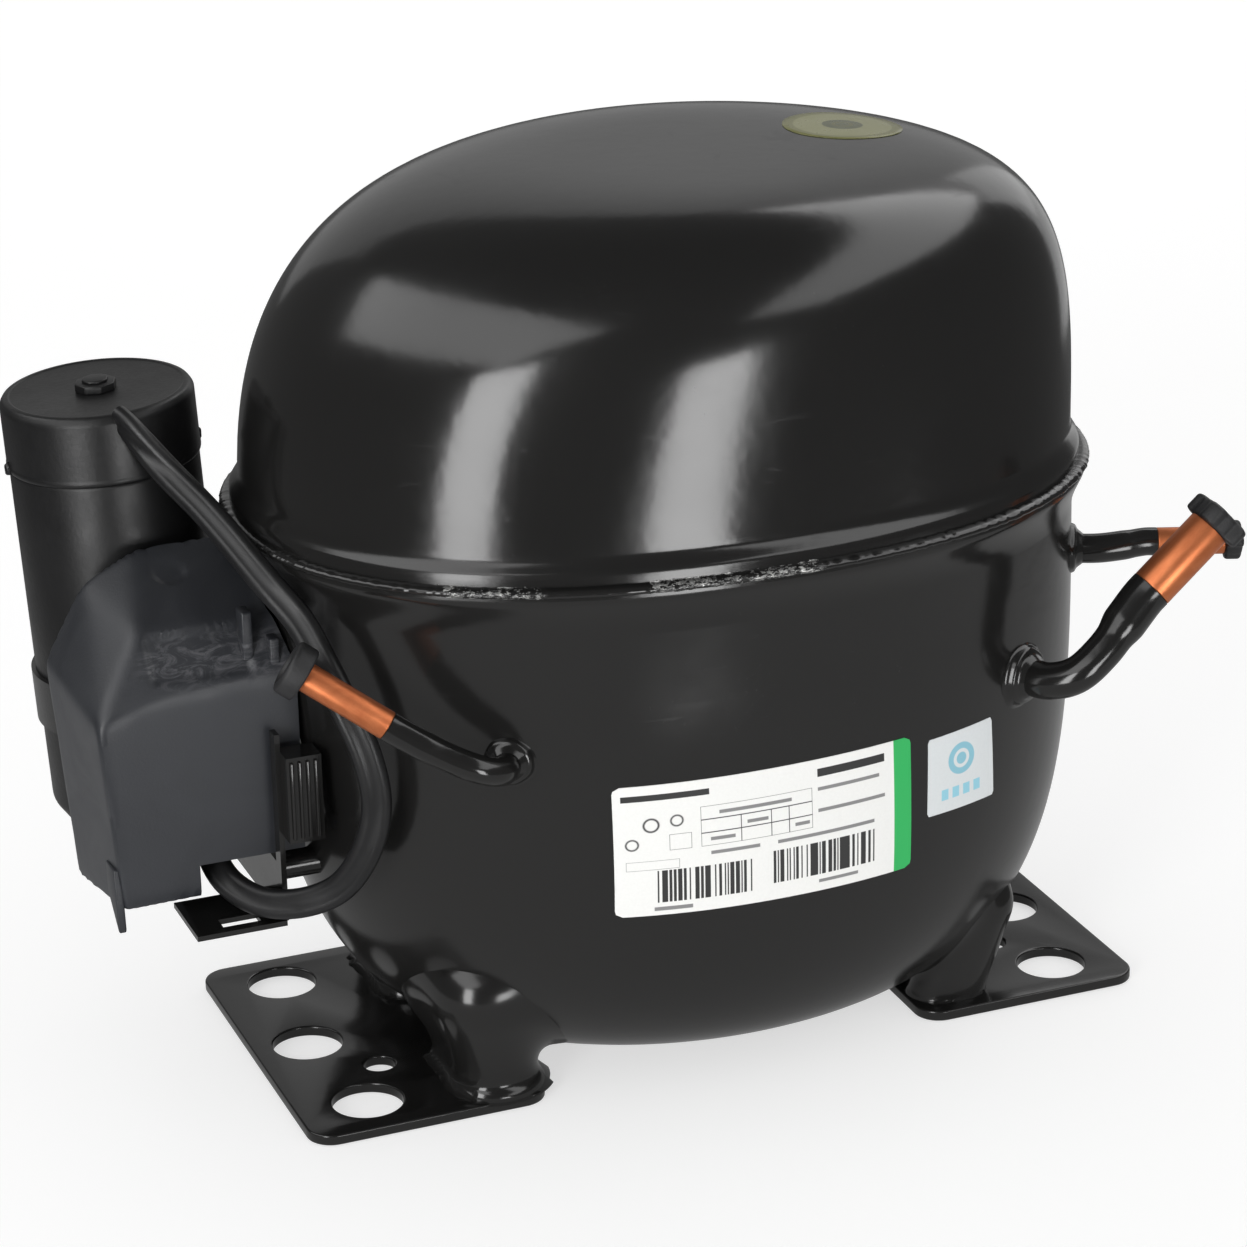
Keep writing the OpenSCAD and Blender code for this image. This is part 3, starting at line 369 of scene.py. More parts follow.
def square_print():
    p = Print("square_print", (0.66, 0.69, 0.70))
    pale = (0.24, 0.50, 0.60)
    p.ring(0.5, 0.64, 0.20, 0.20, 1.0, pale)
    p.ring(0.5, 0.64, 0.12, 0.045, 1.0, (0.66, 0.69, 0.70))
    for u in (0.2, 0.36, 0.52, 0.68):
        p.box(u, u + 0.1, 0.16, 0.30, tint(pale, 1.15))
    return p.done()


def dome_print():
    p = Print("dome_print", (0.30, 0.30, 0.14), 0.3)
    p.ring(0.5, 0.5, 0.5, 0.09, 1.0, (0.20, 0.20, 0.07))
    p.ring(0.5, 0.5, 0.17, 0.17, 1.0, (0.10, 0.11, 0.04))
    p.ring(0.5, 0.5, 0.09, 0.03, 1.0, (0.13, 0.13, 0.03))
    return p.done()


ENAMEL = enamel("shell_enamel", seam_chips)
PLATE_ENAMEL = enamel("plate_enamel")
TUBE_ENAMEL = enamel("tube_enamel")
COPPER = copper("bare_copper")
COVER = cover_plastic()
CAPACITOR = generic("capacitor_plastic", (0.0042, 0.0042, 0.0045), 0.44, mottle=(60, 0.35), grain=(900, 0.05))
RUBBER = generic("stopper_rubber", (0.014, 0.014, 0.015), 0.52, mottle=(300, 0.4), grain=(2500, 0.10))
SHEATH = generic("lead_sheath", (0.006, 0.006, 0.0066), 0.42, mottle=(70, 0.4), grain=(1400, 0.03))
STEEL = dict(metallic=1.0, stretch=(300, 2400, 300))
CAD_LOOKS = {
    "shell_enamel": ENAMEL, "weld_enamel": ENAMEL, "plate_enamel": PLATE_ENAMEL, "tube_enamel": TUBE_ENAMEL,
    "copper": COPPER, "bracket_enamel": PLATE_ENAMEL, "capacitor_plastic": CAPACITOR, "lead_sheath": SHEATH,
    "cover_plastic": COVER, "stopper_rubber": RUBBER,
}
# Slot and material name, base colour, roughness and what else differs from a plain surface
PLAIN_LOOKS = (
    ("cup_steel", (0.42, 0.42, 0.41), 0.35, STEEL),
    ("seal_glass", (0.03, 0.09, 0.07), 0.08, dict(mottle=(400, 0.3), grain=(900, 0.02))),
    ("pin_steel", (0.6, 0.6, 0.58), 0.28, STEEL),
    ("relay_plastic", (0.012, 0.012, 0.013), 0.42, dict(grain=(1900, 0.08))),
    ("protector_shell", (0.03, 0.028, 0.026), 0.4, dict(grain=(1900, 0.06), dirt=0.3)),
    ("strap_steel", (0.02, 0.02, 0.02), 0.32, dict(mottle=(200, 0.4))),
    ("seat_steel", (0.36, 0.36, 0.37), 0.38, dict(dirt=0.4, **STEEL)),
    ("plug_nylon", (0.72, 0.68, 0.56), 0.45, dict(mottle=(120, 0.12), dirt=0.3)),
    ("motor_wire", (0.5, 0.05, 0.03), 0.5, dict(bands=(900, "Z", 2.0))),
    ("grey_iron", (0.16, 0.16, 0.165), 0.55,
     dict(metallic=0.8, mottle=(180, 0.35), grain=(1300, 0.16), dirt=0.5)),
    ("lamination", (0.24, 0.25, 0.27), 0.42, dict(metallic=0.9, bands=(620, "Z", 0.0), dirt=0.3)),
    ("winding_copper", (0.42, 0.13, 0.04), 0.3, dict(metallic=0.7, bands=(380, "DIAGONAL", 1.5))),
    ("bolt_steel", (0.45, 0.45, 0.44), 0.32, STEEL),
    ("gasket_fibre", (0.10, 0.13, 0.10), 0.7, dict(mottle=(700, 0.4), grain=(2600, 0.2))),
    ("valve_steel", (0.48, 0.49, 0.51), 0.22, STEEL),
    ("head_aluminium", (0.55, 0.56, 0.57), 0.45,
     dict(metallic=1.0, mottle=(140, 0.2), grain=(1600, 0.15), dirt=0.3)),
    ("muffler_plastic", (0.62, 0.56, 0.42), 0.45, dict(mottle=(120, 0.12), dirt=0.35)),
    ("muffler_steel", (0.36, 0.36, 0.37), 0.4, dict(dirt=0.35, **STEEL)),
    ("loop_steel", (0.52, 0.27, 0.15), 0.36, dict(dirt=0.3, **STEEL)),
    ("spring_steel", (0.44, 0.44, 0.46), 0.28, dict(dirt=0.3, **STEEL)),
    ("shaft_steel", (0.5, 0.5, 0.52), 0.2, STEEL),
    ("cage_aluminium", (0.6, 0.61, 0.63), 0.42, dict(metallic=1.0, grain=(1500, 0.12))),
    ("rod_aluminium", (0.54, 0.55, 0.57), 0.4, dict(metallic=1.0, grain=(1500, 0.14))),
    ("reed_steel", (0.5, 0.51, 0.54), 0.2, STEEL),
)
CAD_LOOKS.update((name, generic(name, base, rough, **more)) for name, base, rough, more in PLAIN_LOOKS)
NODE_SLOT = {p["node"]: p["material_slot"] for p in frame["record"]["subparts"]}
for name, obj in NODES.items():
    look = CAD_LOOKS[NODE_SLOT[name]]
    if not obj.data.materials:
        obj.data.materials.append(look)
    for i in range(len(obj.data.materials)):
        obj.data.materials[i] = look

# ------------------------------------------------------------------ mesh helpers

WELD, SKIN_WELD = 1e-7, 1e-6

def add_object(name, data):
    obj = bpy.data.objects.new(name, data)
    bpy.context.scene.collection.objects.link(obj)
    return obj


@contextmanager
def editing(mesh):
    """A bmesh of the mesh, written back at the end."""
    bm = bmesh.new()
    bm.from_mesh(mesh)
    yield bm
    bm.to_mesh(mesh)
    bm.free()


def evaluated_mesh(obj):
    """A new mesh of the object as its modifiers or curve settings leave it."""
    return bpy.data.meshes.new_from_object(obj.evaluated_get(bpy.context.evaluated_depsgraph_get()))


def shade_smooth(mesh, smooth=True):
    mesh.polygons.foreach_set("use_smooth", [smooth] * len(mesh.polygons))


def new_object(name, verts, faces, material, smooth=True, uvs=None):
    """verts in millimetres. uvs: one (u, v) per vertex."""
    mesh = bpy.data.meshes.new(name)
    mesh.from_pydata([Vector(v) * MM for v in verts], [], faces)
    if uvs is not None:
        layer = mesh.uv_layers.new(name="UVMap")
        for loop in mesh.loops:
            layer.data[loop.index].uv = uvs[loop.vertex_index]
    with editing(mesh) as bm:
        bmesh.ops.recalc_face_normals(bm, faces=bm.faces)
    shade_smooth(mesh, smooth)
    mesh.materials.append(material)
    return add_object(name, mesh)


def place(obj, slot, *nodes, body="housing"):
    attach(obj, body)
    if nodes:
        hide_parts(*nodes)
    return obj


def grid_faces(rows, cols, wrap=True, offset=0):
    """Quads of a grid of rows x cols vertices, closed round the columns if wrap."""
    faces = []
    for r in range(rows - 1):
        for c in range(cols if wrap else cols - 1):
            d = (c + 1) % cols
            faces.append((offset + r * cols + c, offset + r * cols + d,
                          offset + (r + 1) * cols + d, offset + (r + 1) * cols + c))
    return faces


def sharp_by_angle(obj, degrees=35):
    with editing(obj.data) as bm:
        for e in bm.edges:
            e.smooth = len(e.link_faces) != 2 or e.calc_face_angle(0) < math.radians(degrees)


def smooth_path(points, step):
    """Centripetal Catmull-Rom through the points, resampled every step millimetres."""
    p = [Vector(q) for q in points]
    p = [p[0] * 2 - p[1]] + p + [p[-1] * 2 - p[-2]]
    fine = []
    for i in range(1, len(p) - 2):
        knots = [0.0]
        for k in range(3):
            knots.append(knots[-1] + max((p[i + k] - p[i + k - 1]).length, 1e-6) ** 0.5)
        for j in range(24):
            t = knots[1] + (knots[2] - knots[1]) * j / 24
            a = [p[i + k - 1] + (p[i + k] - p[i + k - 1]) * ((t - knots[k]) / (knots[k + 1] - knots[k]))
                 for k in range(3)]
            b = [a[k] + (a[k + 1] - a[k]) * ((t - knots[k]) / (knots[k + 2] - knots[k])) for k in range(2)]
            fine.append(b[0] + (b[1] - b[0]) * ((t - knots[1]) / (knots[2] - knots[1])))
    fine.append(p[-2])
    length = [0.0]
    for a, b in zip(fine, fine[1:]):
        length.append(length[-1] + (b - a).length)
    count = max(2, round(length[-1] / step))
    out, k = [], 0
    for i in range(count + 1):
        s = length[-1] * i / count
        while k < len(fine) - 2 and length[k + 1] < s:
            k += 1
        t = (s - length[k]) / max(length[k + 1] - length[k], 1e-9)
        out.append(fine[k] + (fine[k + 1] - fine[k]) * t)
    return out


def path_frames(path, across=None, twist=None):
    """Tangent and two normals at each point. With across, the first normal is tangent x across.
    twist(i / n) turns the normals, in degrees."""
    frames, side = [], None
    for i in range(len(path)):
        t = (path[min(i + 1, len(path) - 1)] - path[max(i - 1, 0)]).normalized()
        if across is not None:
            side = t.cross(Vector(across)).normalized()
        elif side is None:
            side = t.orthogonal().normalized()
        else:
            side = (side - t * side.dot(t)).normalized()
        first, second = side, t.cross(side)
        if twist:
            a = math.radians(twist(i / (len(path) - 1)))
            first, second = (first * math.cos(a) + second * math.sin(a),
                             second * math.cos(a) - first * math.sin(a))
        frames.append((t, first, second))
    return frames


def sweep(name, path, section, material, across=None, scale=None, bore=None, twist=None):
    """Sweeps a closed section along the path. scale(i / n) sizes it, bore is an inner section."""
    frames = path_frames(path, across, twist)
    n = len(path) - 1
    verts, faces, m = [], [], len(section)
    for i, (p, (t, s, u)) in enumerate(zip(path, frames)):
        k = scale(i / n) if scale else 1.0
        verts += [p + s * (q[0] * k) + u * (q[1] * k) for q in section]
    faces += grid_faces(n + 1, m)
    if bore:
        first = len(verts)
        for p, (t, s, u) in zip(path, frames):
            verts += [p + s * q[0] + u * q[1] for q in bore]
        faces += [f[::-1] for f in grid_faces(n + 1, m, True, first)]
        for base in (0, n * m):
            faces += [(base + j, base + (j + 1) % m, first + base + (j + 1) % m, first + base + j)
                      for j in range(m)]
    else:
        faces += [tuple(range(m))[::-1], tuple(range(n * m, n * m + m))]
    obj = new_object(name, verts, faces, material)
    sharp_by_angle(obj, 50)
    return obj


def circle_section(r, sides=32):
    return [(r * math.cos(2 * math.pi * i / sides), r * math.sin(2 * math.pi * i / sides))
            for i in range(sides)]


def lathe(name, profile, origin, axis, material, sides=64, wobble=None):
    """Turns (radius, height) pairs about axis through origin. Ends at radius 0 are closed to a point."""
    axis = Vector(axis).normalized()
    side = axis.orthogonal().normalized()
    up = axis.cross(side)
    verts, faces = [], []
    for r, h in profile:
        for i in range(sides):
            a = 2 * math.pi * i / sides
            k = wobble(a, r, h) if wobble else 1.0
            verts.append(Vector(origin) + axis * h + (side * math.cos(a) + up * math.sin(a)) * (r * k))
    faces = grid_faces(len(profile), sides)
    obj = new_object(name, verts, faces, material)
    with editing(obj.data) as bm:
        bmesh.ops.remove_doubles(bm, verts=bm.verts, dist=WELD)
        bmesh.ops.holes_fill(bm, edges=bm.edges, sides=0)
        bmesh.ops.recalc_face_normals(bm, faces=bm.faces)
    shade_smooth(obj.data)
    sharp_by_angle(obj, 40)
    return obj


def rounded(points, r, steps=4):
    """Rounds the inner corners of an open (radius, height) profile."""
    out = [points[0]]
    for a, b, c in zip(points, points[1:], points[2:]):
        a, b, c = Vector(a), Vector(b), Vector(c)
        d1, d2 = (a - b), (c - b)
        k = min(r, d1.length * 0.45, d2.length * 0.45)
        p, q = b + d1.normalized() * k, b + d2.normalized() * k
        for i in range(steps + 1):
            t = i / steps
            out.append(tuple(p * (1 - t) ** 2 + b * (2 * t * (1 - t)) + q * t ** 2))
    out.append(points[-1])
    return out


# ------------------------------------------------------------------ the free lead

LEAD_ROUTE = [
    (-118.6, 17, 152), (-117.6, 14.6, 150.8), (-111.8, 8, 142.2), (-106.2, -1.2, 135.3),
    (-103.1, -11.2, 130.8), (-99.6, -22.6, 125.1), (-94.5, -30, 117.6), (-92.1, -37, 110.6),
    (-89.1, -42, 101.7), (-85.6, -45, 90.8), (-83.9, -45, 79), (-86, -43, 68),
    (-91, -38, 58), (-98.4, -32, 53.3), (-105.3, -25, 52.2), (-110, -17, 54.5),
    (-111.6, -11, 59), (-112, -10, 66),
]
LEAD_WIDTH, LEAD_THICK = 6.6, 3.6


def twin_section(width, thick, arc=10):
    """Two round cores side by side with a groove between them."""
    r = thick / 2
    c = width / 2 - r
    pts = []
    for i in range(2 * arc + 1):
        a = -math.pi / 2 + math.pi * i / (2 * arc)
        a *= 1.28
        pts.append((c + r * math.cos(a), r * math.sin(a)))
    return pts + [(-x, -y) for x, y in pts]


def make_lead():
    path = smooth_path(LEAD_ROUTE, 1.6)
    lead = sweep("capacitor_lead_cable", path, twin_section(LEAD_WIDTH, LEAD_THICK), SHEATH,
                 across=(0.34, 0.87, -0.36), twist=lambda s: 62 * max(0.0, 1 - s / 0.10))
    place(lead, "lead_sheath", "capacitor_lead")


make_lead()

# ------------------------------------------------------------------ housing

HALF_LENGTH, HALF_WIDTH = 95.0, 70.4
DOME_TOP, SEAM_Z, BOTTOM_Z, WALL = 201.0, 128.0, 2.0, 3.0
OVAL_LOW, OVAL_END = 2.22, 1.99
DOME_START, BOWL_START = SEAM_Z + 2.6, SEAM_Z - 2.4
SEAM_GAP = 1.2
AROUND = 224


def oval(a, b, n, cx, z, count=AROUND):
    out = []
    for i in range(count):
        c, s = math.cos(2 * math.pi * i / count), math.sin(2 * math.pi * i / count)
        out.append((cx + a * math.copysign(abs(c) ** (2 / n), c),
                    b * math.copysign(abs(s) ** (2 / n), s), z))
    return out


def lip(d, flat, height, width):
    """A flange as wide as width for the first stretch, then a smooth concave return to the wall."""
    t = min(max((d - flat) / (height - flat), 0), 1)
    return width * (1 - t) ** 2 * (1 + 0.6 * t)


def dome_size(z, w=0.0):
    """(a, b, n, centre x) of the dome's outline at height z, w inside its outer face."""
    t = min(max((z - DOME_START) / (DOME_TOP - w - DOME_START), 0), 1)
    e = lip(z - SEAM_Z - SEAM_GAP, 3.0, 7.0, 1.9) - w
    return (HALF_LENGTH * (1 - t ** 2.9) ** (1 / 4.4) + e * (1 - t),
            (HALF_WIDTH - 0.2) * (1 - t ** 5.3) ** (1 / 6) + e * (1 - t),
            OVAL_LOW + (OVAL_END - OVAL_LOW) * t, 10 * t * t)


def bowl_size(z, w=0.0):
    t = min(max((BOWL_START - z) / (BOWL_START - BOTTOM_Z - w), 0), 1)
    e = lip(SEAM_Z - z, 1.6, 11.0, 3.0) - w
    return (max((HALF_LENGTH + 0.4) * (1 - t ** 3.7) ** (1 / 4.3) + e * (1 - t), 0.0),
            max(HALF_WIDTH * (1 - t ** 3.7) ** (1 / 4.3) + e * (1 - t), 0.0),
            OVAL_LOW + (OVAL_END - OVAL_LOW) * t, 4.5 * t)


def shell_heights(start, end, power, q, first, count=30):
    """Heights that step evenly round the shoulder and then evenly over the crown."""
    out = []
    for i in range(count):
        angle = math.radians(first + (58 - first) * i / (count - 1))
        out.append(start + (end - start) * math.sin(angle) ** (2 / power))
    f0 = math.cos(math.radians(58)) ** (2 / q)
    for i in range(1, count):
        f = f0 * (1 - i / (count - 0.6))
        angle = math.acos(f ** (q / 2))
        out.append(start + (end - start) * math.sin(angle) ** (2 / power))
    return out


def make_cup(name, size, lip_z, start, end, power, q, first, tip_x, material):
    verts = []
    rows = 0
    for w in (0.0, WALL):
        stop = end - w if end > start else end + w
        for z in lip_z + shell_heights(start, stop, power, q, first):
            a, b, n, cx = size(z, w)
            verts += oval(a, b, n, cx, z)
            rows += 1
    rows //= 2
    n = AROUND
    faces = grid_faces(rows, n) + grid_faces(rows, n, True, rows * n)
    faces += [(j, (j + 1) % n, rows * n + (j + 1) % n, rows * n + j) for j in range(n)]
    inward = 1 if end < start else -1
    for k, w in ((0, 0.0), (1, WALL)):
        base = (k + 1) * rows * n - n
        tip = len(verts)
        verts.append((tip_x, 0, end + inward * w))
        faces += [(base + j, tip, base + (j + 1) % n) for j in range(n)]
    obj = new_object(name, verts, faces, material)
    sharp_by_angle(obj, 40)
    return obj


dome_lips = [SEAM_Z + SEAM_GAP + d for d in (0.0, 0.3, 0.9, 1.9, 2.9, 3.6, 4.3, 5.0, 5.8, 6.6, 7.5, 8.5)]
bowl_lips = [SEAM_Z - d for d in (0.0, 0.3, 0.8, 1.4, 2.0, 2.8, 3.8, 4.8, 6.0, 7.4, 8.8, 10.6)]
dome = make_cup("dome", dome_size, dome_lips, DOME_START, DOME_TOP, 2.9, 4.4, 4.6, 10.0, ENAMEL)
place(dome, "shell_enamel", "upper_shell")
bowl = make_cup("bowl", bowl_size, bowl_lips, BOWL_START, BOTTOM_Z, 3.7, 4.3, 3.0, 4.5, ENAMEL)
place(bowl, "shell_enamel", "lower_shell")


def make_bead():
    """The weld: an uneven rounded bead between the two lips."""
    count, sides = 900, 14
    a, b = HALF_LENGTH + 3.4, HALF_WIDTH + 3.0
    line = [Vector(p) for p in oval(a - 1.5, b - 1.5, OVAL_LOW, 0, SEAM_Z + SEAM_GAP / 2, count)]
    verts = []
    for i, p in enumerate(line):
        t = (line[(i + 1) % count] - line[i - 1]).normalized()
        out = Vector((t.y, -t.x, 0))
        wave = 0.20 * mnoise.noise(p * 0.55) + 0.16 * mnoise.noise(p * 1.6)
        for j in range(sides):
            ang = 2 * math.pi * j / sides
            r_out = 2.35 + wave
            r_up = 1.15 + 0.7 * wave
            verts.append(p + out * (r_out * math.cos(ang)) + Vector((0, 0, r_up * math.sin(ang))))
    faces = grid_faces(count, sides)
    faces += [((count - 1) * sides + j, (count - 1) * sides + (j + 1) % sides, (j + 1) % sides, j)
              for j in range(sides)]
    bead = new_object("weld_bead", verts, faces, ENAMEL)
    place(bead, "weld_enamel", "weld_seam")


make_bead()


def normal_at(x, z, front=-1):
    """Point and outward normal of the bowl's front or back face at (x, z)."""
    def y_of(xx, zz):
        a, b, n, cx = bowl_size(zz)
        k = min(abs(xx - cx) / a, 1)
        return front * b * (1 - k ** n) ** (1 / n)
    p = Vector((x, y_of(x, z), z))
    dx = Vector((1, y_of(x + 0.5, z) - y_of(x - 0.5, z), 0))
    dz = Vector((0, y_of(x, z + 0.5) - y_of(x, z - 0.5), 1))
    normal = dx.cross(dz).normalized()
    return p, normal if normal.y * front > 0 else -normal


# ------------------------------------------------------------------ plates

PLATE_T, PLATE_IN, PLATE_OUT, PLATE_HALF, PLATE_CORNER = 2.5, 46.0, 101.5, 45.0, 6.0
PLATE_HOLES = ((85, 32, 8), (85, -32, 8), (88.8, 0, 8), (77, -16.3, 3.6))


def make_plate(name, sign):
    """A pressed plate with soft edges, from an outline with holes."""
    curve = bpy.data.curves.new(name, "CURVE")
    curve.dimensions = "2D"
    curve.fill_mode = "BOTH"
    edge = 0.45
    curve.extrude = (PLATE_T / 2 - edge) * MM
    curve.bevel_depth = edge * MM
    curve.bevel_resolution = 3
    curve.offset = -edge * MM

    def ring(points):
        spline = curve.splines.new("POLY")
        spline.points.add(len(points) - 1)
        for q, (x, y) in zip(spline.points, points):
            q.co = (x * MM, y * MM, 0, 1)
        spline.use_cyclic_u = True
    outline = []
    mid, half = sign * (PLATE_IN + PLATE_OUT) / 2, (PLATE_OUT - PLATE_IN) / 2
    for cx, cy, start in ((1, 1, 0), (-1, 1, 90), (-1, -1, 180), (1, -1, 270)):
        for k in range(13):
            a = math.radians(start + 7.5 * k)
            outline.append((mid + cx * (half - PLATE_CORNER) + PLATE_CORNER * math.cos(a),
                            cy * (PLATE_HALF - PLATE_CORNER) + PLATE_CORNER * math.sin(a)))
    ring(outline)
    for x, y, r in PLATE_HOLES:
        ring([(sign * x + r * math.cos(-math.pi * k / 36), y + r * math.sin(-math.pi * k / 36))
              for k in range(72)])
    temp = add_object(name + "_outline", curve)
    mesh = evaluated_mesh(temp)
    bpy.data.objects.remove(temp)
    mesh.transform(Matrix.Translation((0, 0, PLATE_T / 2 * MM)))
    mesh.materials.clear()
    mesh.materials.append(PLATE_ENAMEL)
    mesh.name = name
    obj = add_object(name, mesh)
    with editing(mesh) as bm:
        bmesh.ops.remove_doubles(bm, verts=bm.verts, dist=WELD)
    shade_smooth(mesh)
    sharp_by_angle(obj, 34)
    return obj


def bowl_depth(p):
    """Signed distance (about) from the bowl's outer face, negative inside. p is an (n, 3) array."""
    def level(q):
        z = np.clip(q[:, 2], BOTTOM_Z + 0.05, SEAM_Z)
        t = np.clip((BOWL_START - z) / (BOWL_START - BOTTOM_Z), 0, 1)
        f = np.maximum(1 - t ** 3.7, 1e-6) ** (1 / 4.3)
        n = OVAL_LOW + (OVAL_END - OVAL_LOW) * t
        u = np.abs(q[:, 0] - 4.5 * t) / ((HALF_LENGTH + 0.4) * f)
        v = np.abs(q[:, 1]) / (HALF_WIDTH * f)
        return (u ** n + v ** n) ** (1 / n) - 1
    base = level(p)
    h = 0.05
    slope = np.stack([(level(p + d) - level(p - d)) / (2 * h) for d in np.eye(3) * h], axis=1)
    return base / np.maximum(np.linalg.norm(slope, axis=1), 1e-3)


def blend_min(a, b, k):
    h = np.clip(0.5 + 0.5 * (b - a) / k, 0, 1)
    return b * (1 - h) + a * h - k * h * (1 - h)


def segment_gap(p, a, b):
    """Distance from points to the segment a-b, any dimension."""
    a, b = np.array(a, float), np.array(b, float)
    t = np.clip(((p - a) @ (b - a)) / ((b - a) @ (b - a)), 0, 1)
    return np.linalg.norm(p - (a + t[:, None] * (b - a)), axis=1)


# Far from its centre a horn's skin sinks into the bowl, so that its rim doesn't show
SINK_FROM, SINK_OVER, SINK_DEPTH = 18, 9, 4.0
HORN_REACH = 30.0


def horn_field(p, foot, lean, radius, top, fillet, centre):
    """A spoon-shaped lobe against the bowl: a bent, leaning, tapering column with a rounded top."""
    rise = (p[:, 2] - PLATE_T) / 20
    flat_xy = p[:, :2] - rise[:, None] * np.array(lean)
    r = radius[0] + (radius[1] - radius[0]) * np.clip(rise, 0, 1.4)
    arms = (segment_gap(flat_xy, *ends) for ends in zip(foot, foot[1:]))
    column = blend_min(*arms, 3.0) - r
    cap = p[:, 2] - (top[0] + top[1] * (p[:, 0] - foot[1][0]))
    lobe = -blend_min(-column, -cap * 0.8, 9.0)
    away = np.clip((np.linalg.norm(p - np.array(centre), axis=1) - SINK_FROM) / SINK_OVER, 0, 1)
    whole = blend_min(lobe, bowl_depth(p) + 0.25, fillet) + SINK_DEPTH * away * away
    return np.maximum(np.maximum(whole, -(bowl_depth(p) + 2.4)), 0.6 - p[:, 2])


def skin(centre, field, reach, rows=80, cols=120):
    """Points where rays from centre first leave the field, as a closed grid."""
    lat = np.linspace(-math.pi / 2, math.pi / 2, rows)
    lon = np.linspace(0, 2 * math.pi, cols, endpoint=False)
    la, lo = np.meshgrid(lat, lon, indexing="ij")
    ray = np.stack([np.cos(la) * np.cos(lo), np.cos(la) * np.sin(lo), np.sin(la)], axis=-1).reshape(-1, 3)
    c = np.array(centre, float)
    low, done = np.zeros(len(ray)), np.zeros(len(ray), bool)
    step = 0.45
    while low.max() < reach and not done.all():
        value = field(c + ray * (low + step)[:, None])
        done |= (value >= 0) | (low + step >= reach)
        low = np.where(done, low, low + step)
    high = np.minimum(low + step, reach)
    for _ in range(12):
        mid = (low + high) / 2
        out = field(c + ray * mid[:, None]) >= 0
        high = np.where(out, mid, high)
        low = np.where(out, low, mid)
    return c + ray * low[:, None], grid_faces(rows, cols)


def skin_object(name, pts, faces, material):
    obj = new_object(name, [tuple(q) for q in pts], faces, material)
    with editing(obj.data) as bm:
        bmesh.ops.remove_doubles(bm, verts=bm.verts, dist=SKIN_WELD)
        bmesh.ops.recalc_face_normals(bm, faces=bm.faces)
    shade_smooth(obj.data)
    return obj


HORNS = {
    "left": dict(foot=((-56, -21), (-56, -34.2), (-55, -34.2)), lean=(-4, -3), radius=(6.0, 7.6),
                 top=(36, 0.0), fillet=13.0, centre=(-56, -31, 11)),
    "right": dict(foot=((58, -21), (58, -33.5), (54, -34)), lean=(5.5, -4), radius=(7.2, 6.4),
                  top=(30, 0.3), fillet=2.6, centre=(59, -32, 11)),
}
for side, sign in (("left", -1), ("right", 1)):
    plate = make_plate(f"{side}_plate", sign)
    place(plate, "plate_enamel", f"{side}_base_plate")
    h = dict(HORNS[side])
    pts, faces = skin(h["centre"], lambda q, h=h: horn_field(q, **h), HORN_REACH)
    for back, tag in ((1, "front"), (-1, "back")):
        horn = skin_object(f"{side}_{tag}_horn", pts * np.array((1, back, 1)), faces, PLATE_ENAMEL)
        place(horn, "plate_enamel")

# ------------------------------------------------------------------ tubes

SUCTION = dict(root=(64.5, -55.8, 88), out=(0.5, -0.866, 0), start=(90.7, -64.4, 107.3),
               along=(0.748, -0.016, 0.663), length=18.5, r=4.85, bore=4.1, collar=7.5,
               bends=[(67.5, -61.6, 88.2), (72, -65.6, 90.4), (78, -66.3, 95.2), (84, -65.2, 101)],
               depth=9, thin=0.86)
DISCHARGE = dict(root=(89, -29.8, 105.5), out=(0.884, -0.468, 0), start=(107.6, -35.8, 106.3),
                 along=(0.95, -0.312, -0.02), length=15.5, r=3.175, bore=2.375, collar=6.6,
                 bends=[(94.5, -32.6, 105.6), (100.5, -34.2, 106)], depth=6, thin=1.06)
PROCESS = dict(root=(-58.3, -57.4, 89.5), out=(-0.5, -0.866, 0), start=(-84.3, -56.6, 101.9),
               along=(-0.759, 0.347, 0.551), length=20, r=3.175, bore=2.375, collar=6.2,
               bends=[(-61.6, -62.6, 89.9), (-66.5, -64, 91.6), (-74, -61.4, 95.2)], depth=8, thin=0.97)


def collar_wobble(angle, r, h):
    """The welded ring is a little uneven."""
    return 1 + 0.02 * math.sin(3 * angle + 1) + 0.012 * math.sin(7 * angle)


def make_tube(kind, t):
    root, out, start = Vector(t["root"]), Vector(t["out"]), Vector(t["start"])
    along = Vector(t["along"]).normalized()
    r = t["r"]
    path = smooth_path([root - out * t["depth"], root, *t["bends"], start - along * 2.5, start], 0.8)

    def swell(s):
        """The bend is a little thinner than the swaged end that holds the bare copper."""
        k = min(max((s - 0.70) / 0.10, 0), 1)
        return t["thin"] + (1.012 - t["thin"]) * k * k * (3 - 2 * k)
    tube = sweep(f"{kind}_bend", path, circle_section(r, 40), TUBE_ENAMEL, scale=swell,
                 bore=circle_section(t["bore"] * 0.78, 40))
    place(tube, "tube_enamel", f"{kind}_tube")
    end = lathe(f"{kind}_copper", rounded([(t["bore"], 0), (r, 0), (r, t["length"]),
                                           (t["bore"], t["length"]), (t["bore"], 0)], 0.25, 3),
                start + along * 0.05, along, COPPER, 48)
    place(end, "copper", f"{kind}_tube_end")
    c = t["collar"]
    neck = r * t["thin"]
    outline = [(neck - 0.4, -3.2), (c + 1.6, -3.2), (c + 1.0, -1.5), (c - 0.7, -0.6), (c - 1.2, 0.9),
               (neck + 1.1, 1.3), (neck + 0.25, 2.4), (neck - 0.4, 3.2), (neck - 0.4, -3.2)]
    ring = lathe(f"{kind}_collar", rounded(outline, 0.9, 5), root, out, TUBE_ENAMEL, 64, collar_wobble)
    place(ring, "tube_enamel")
    return ring


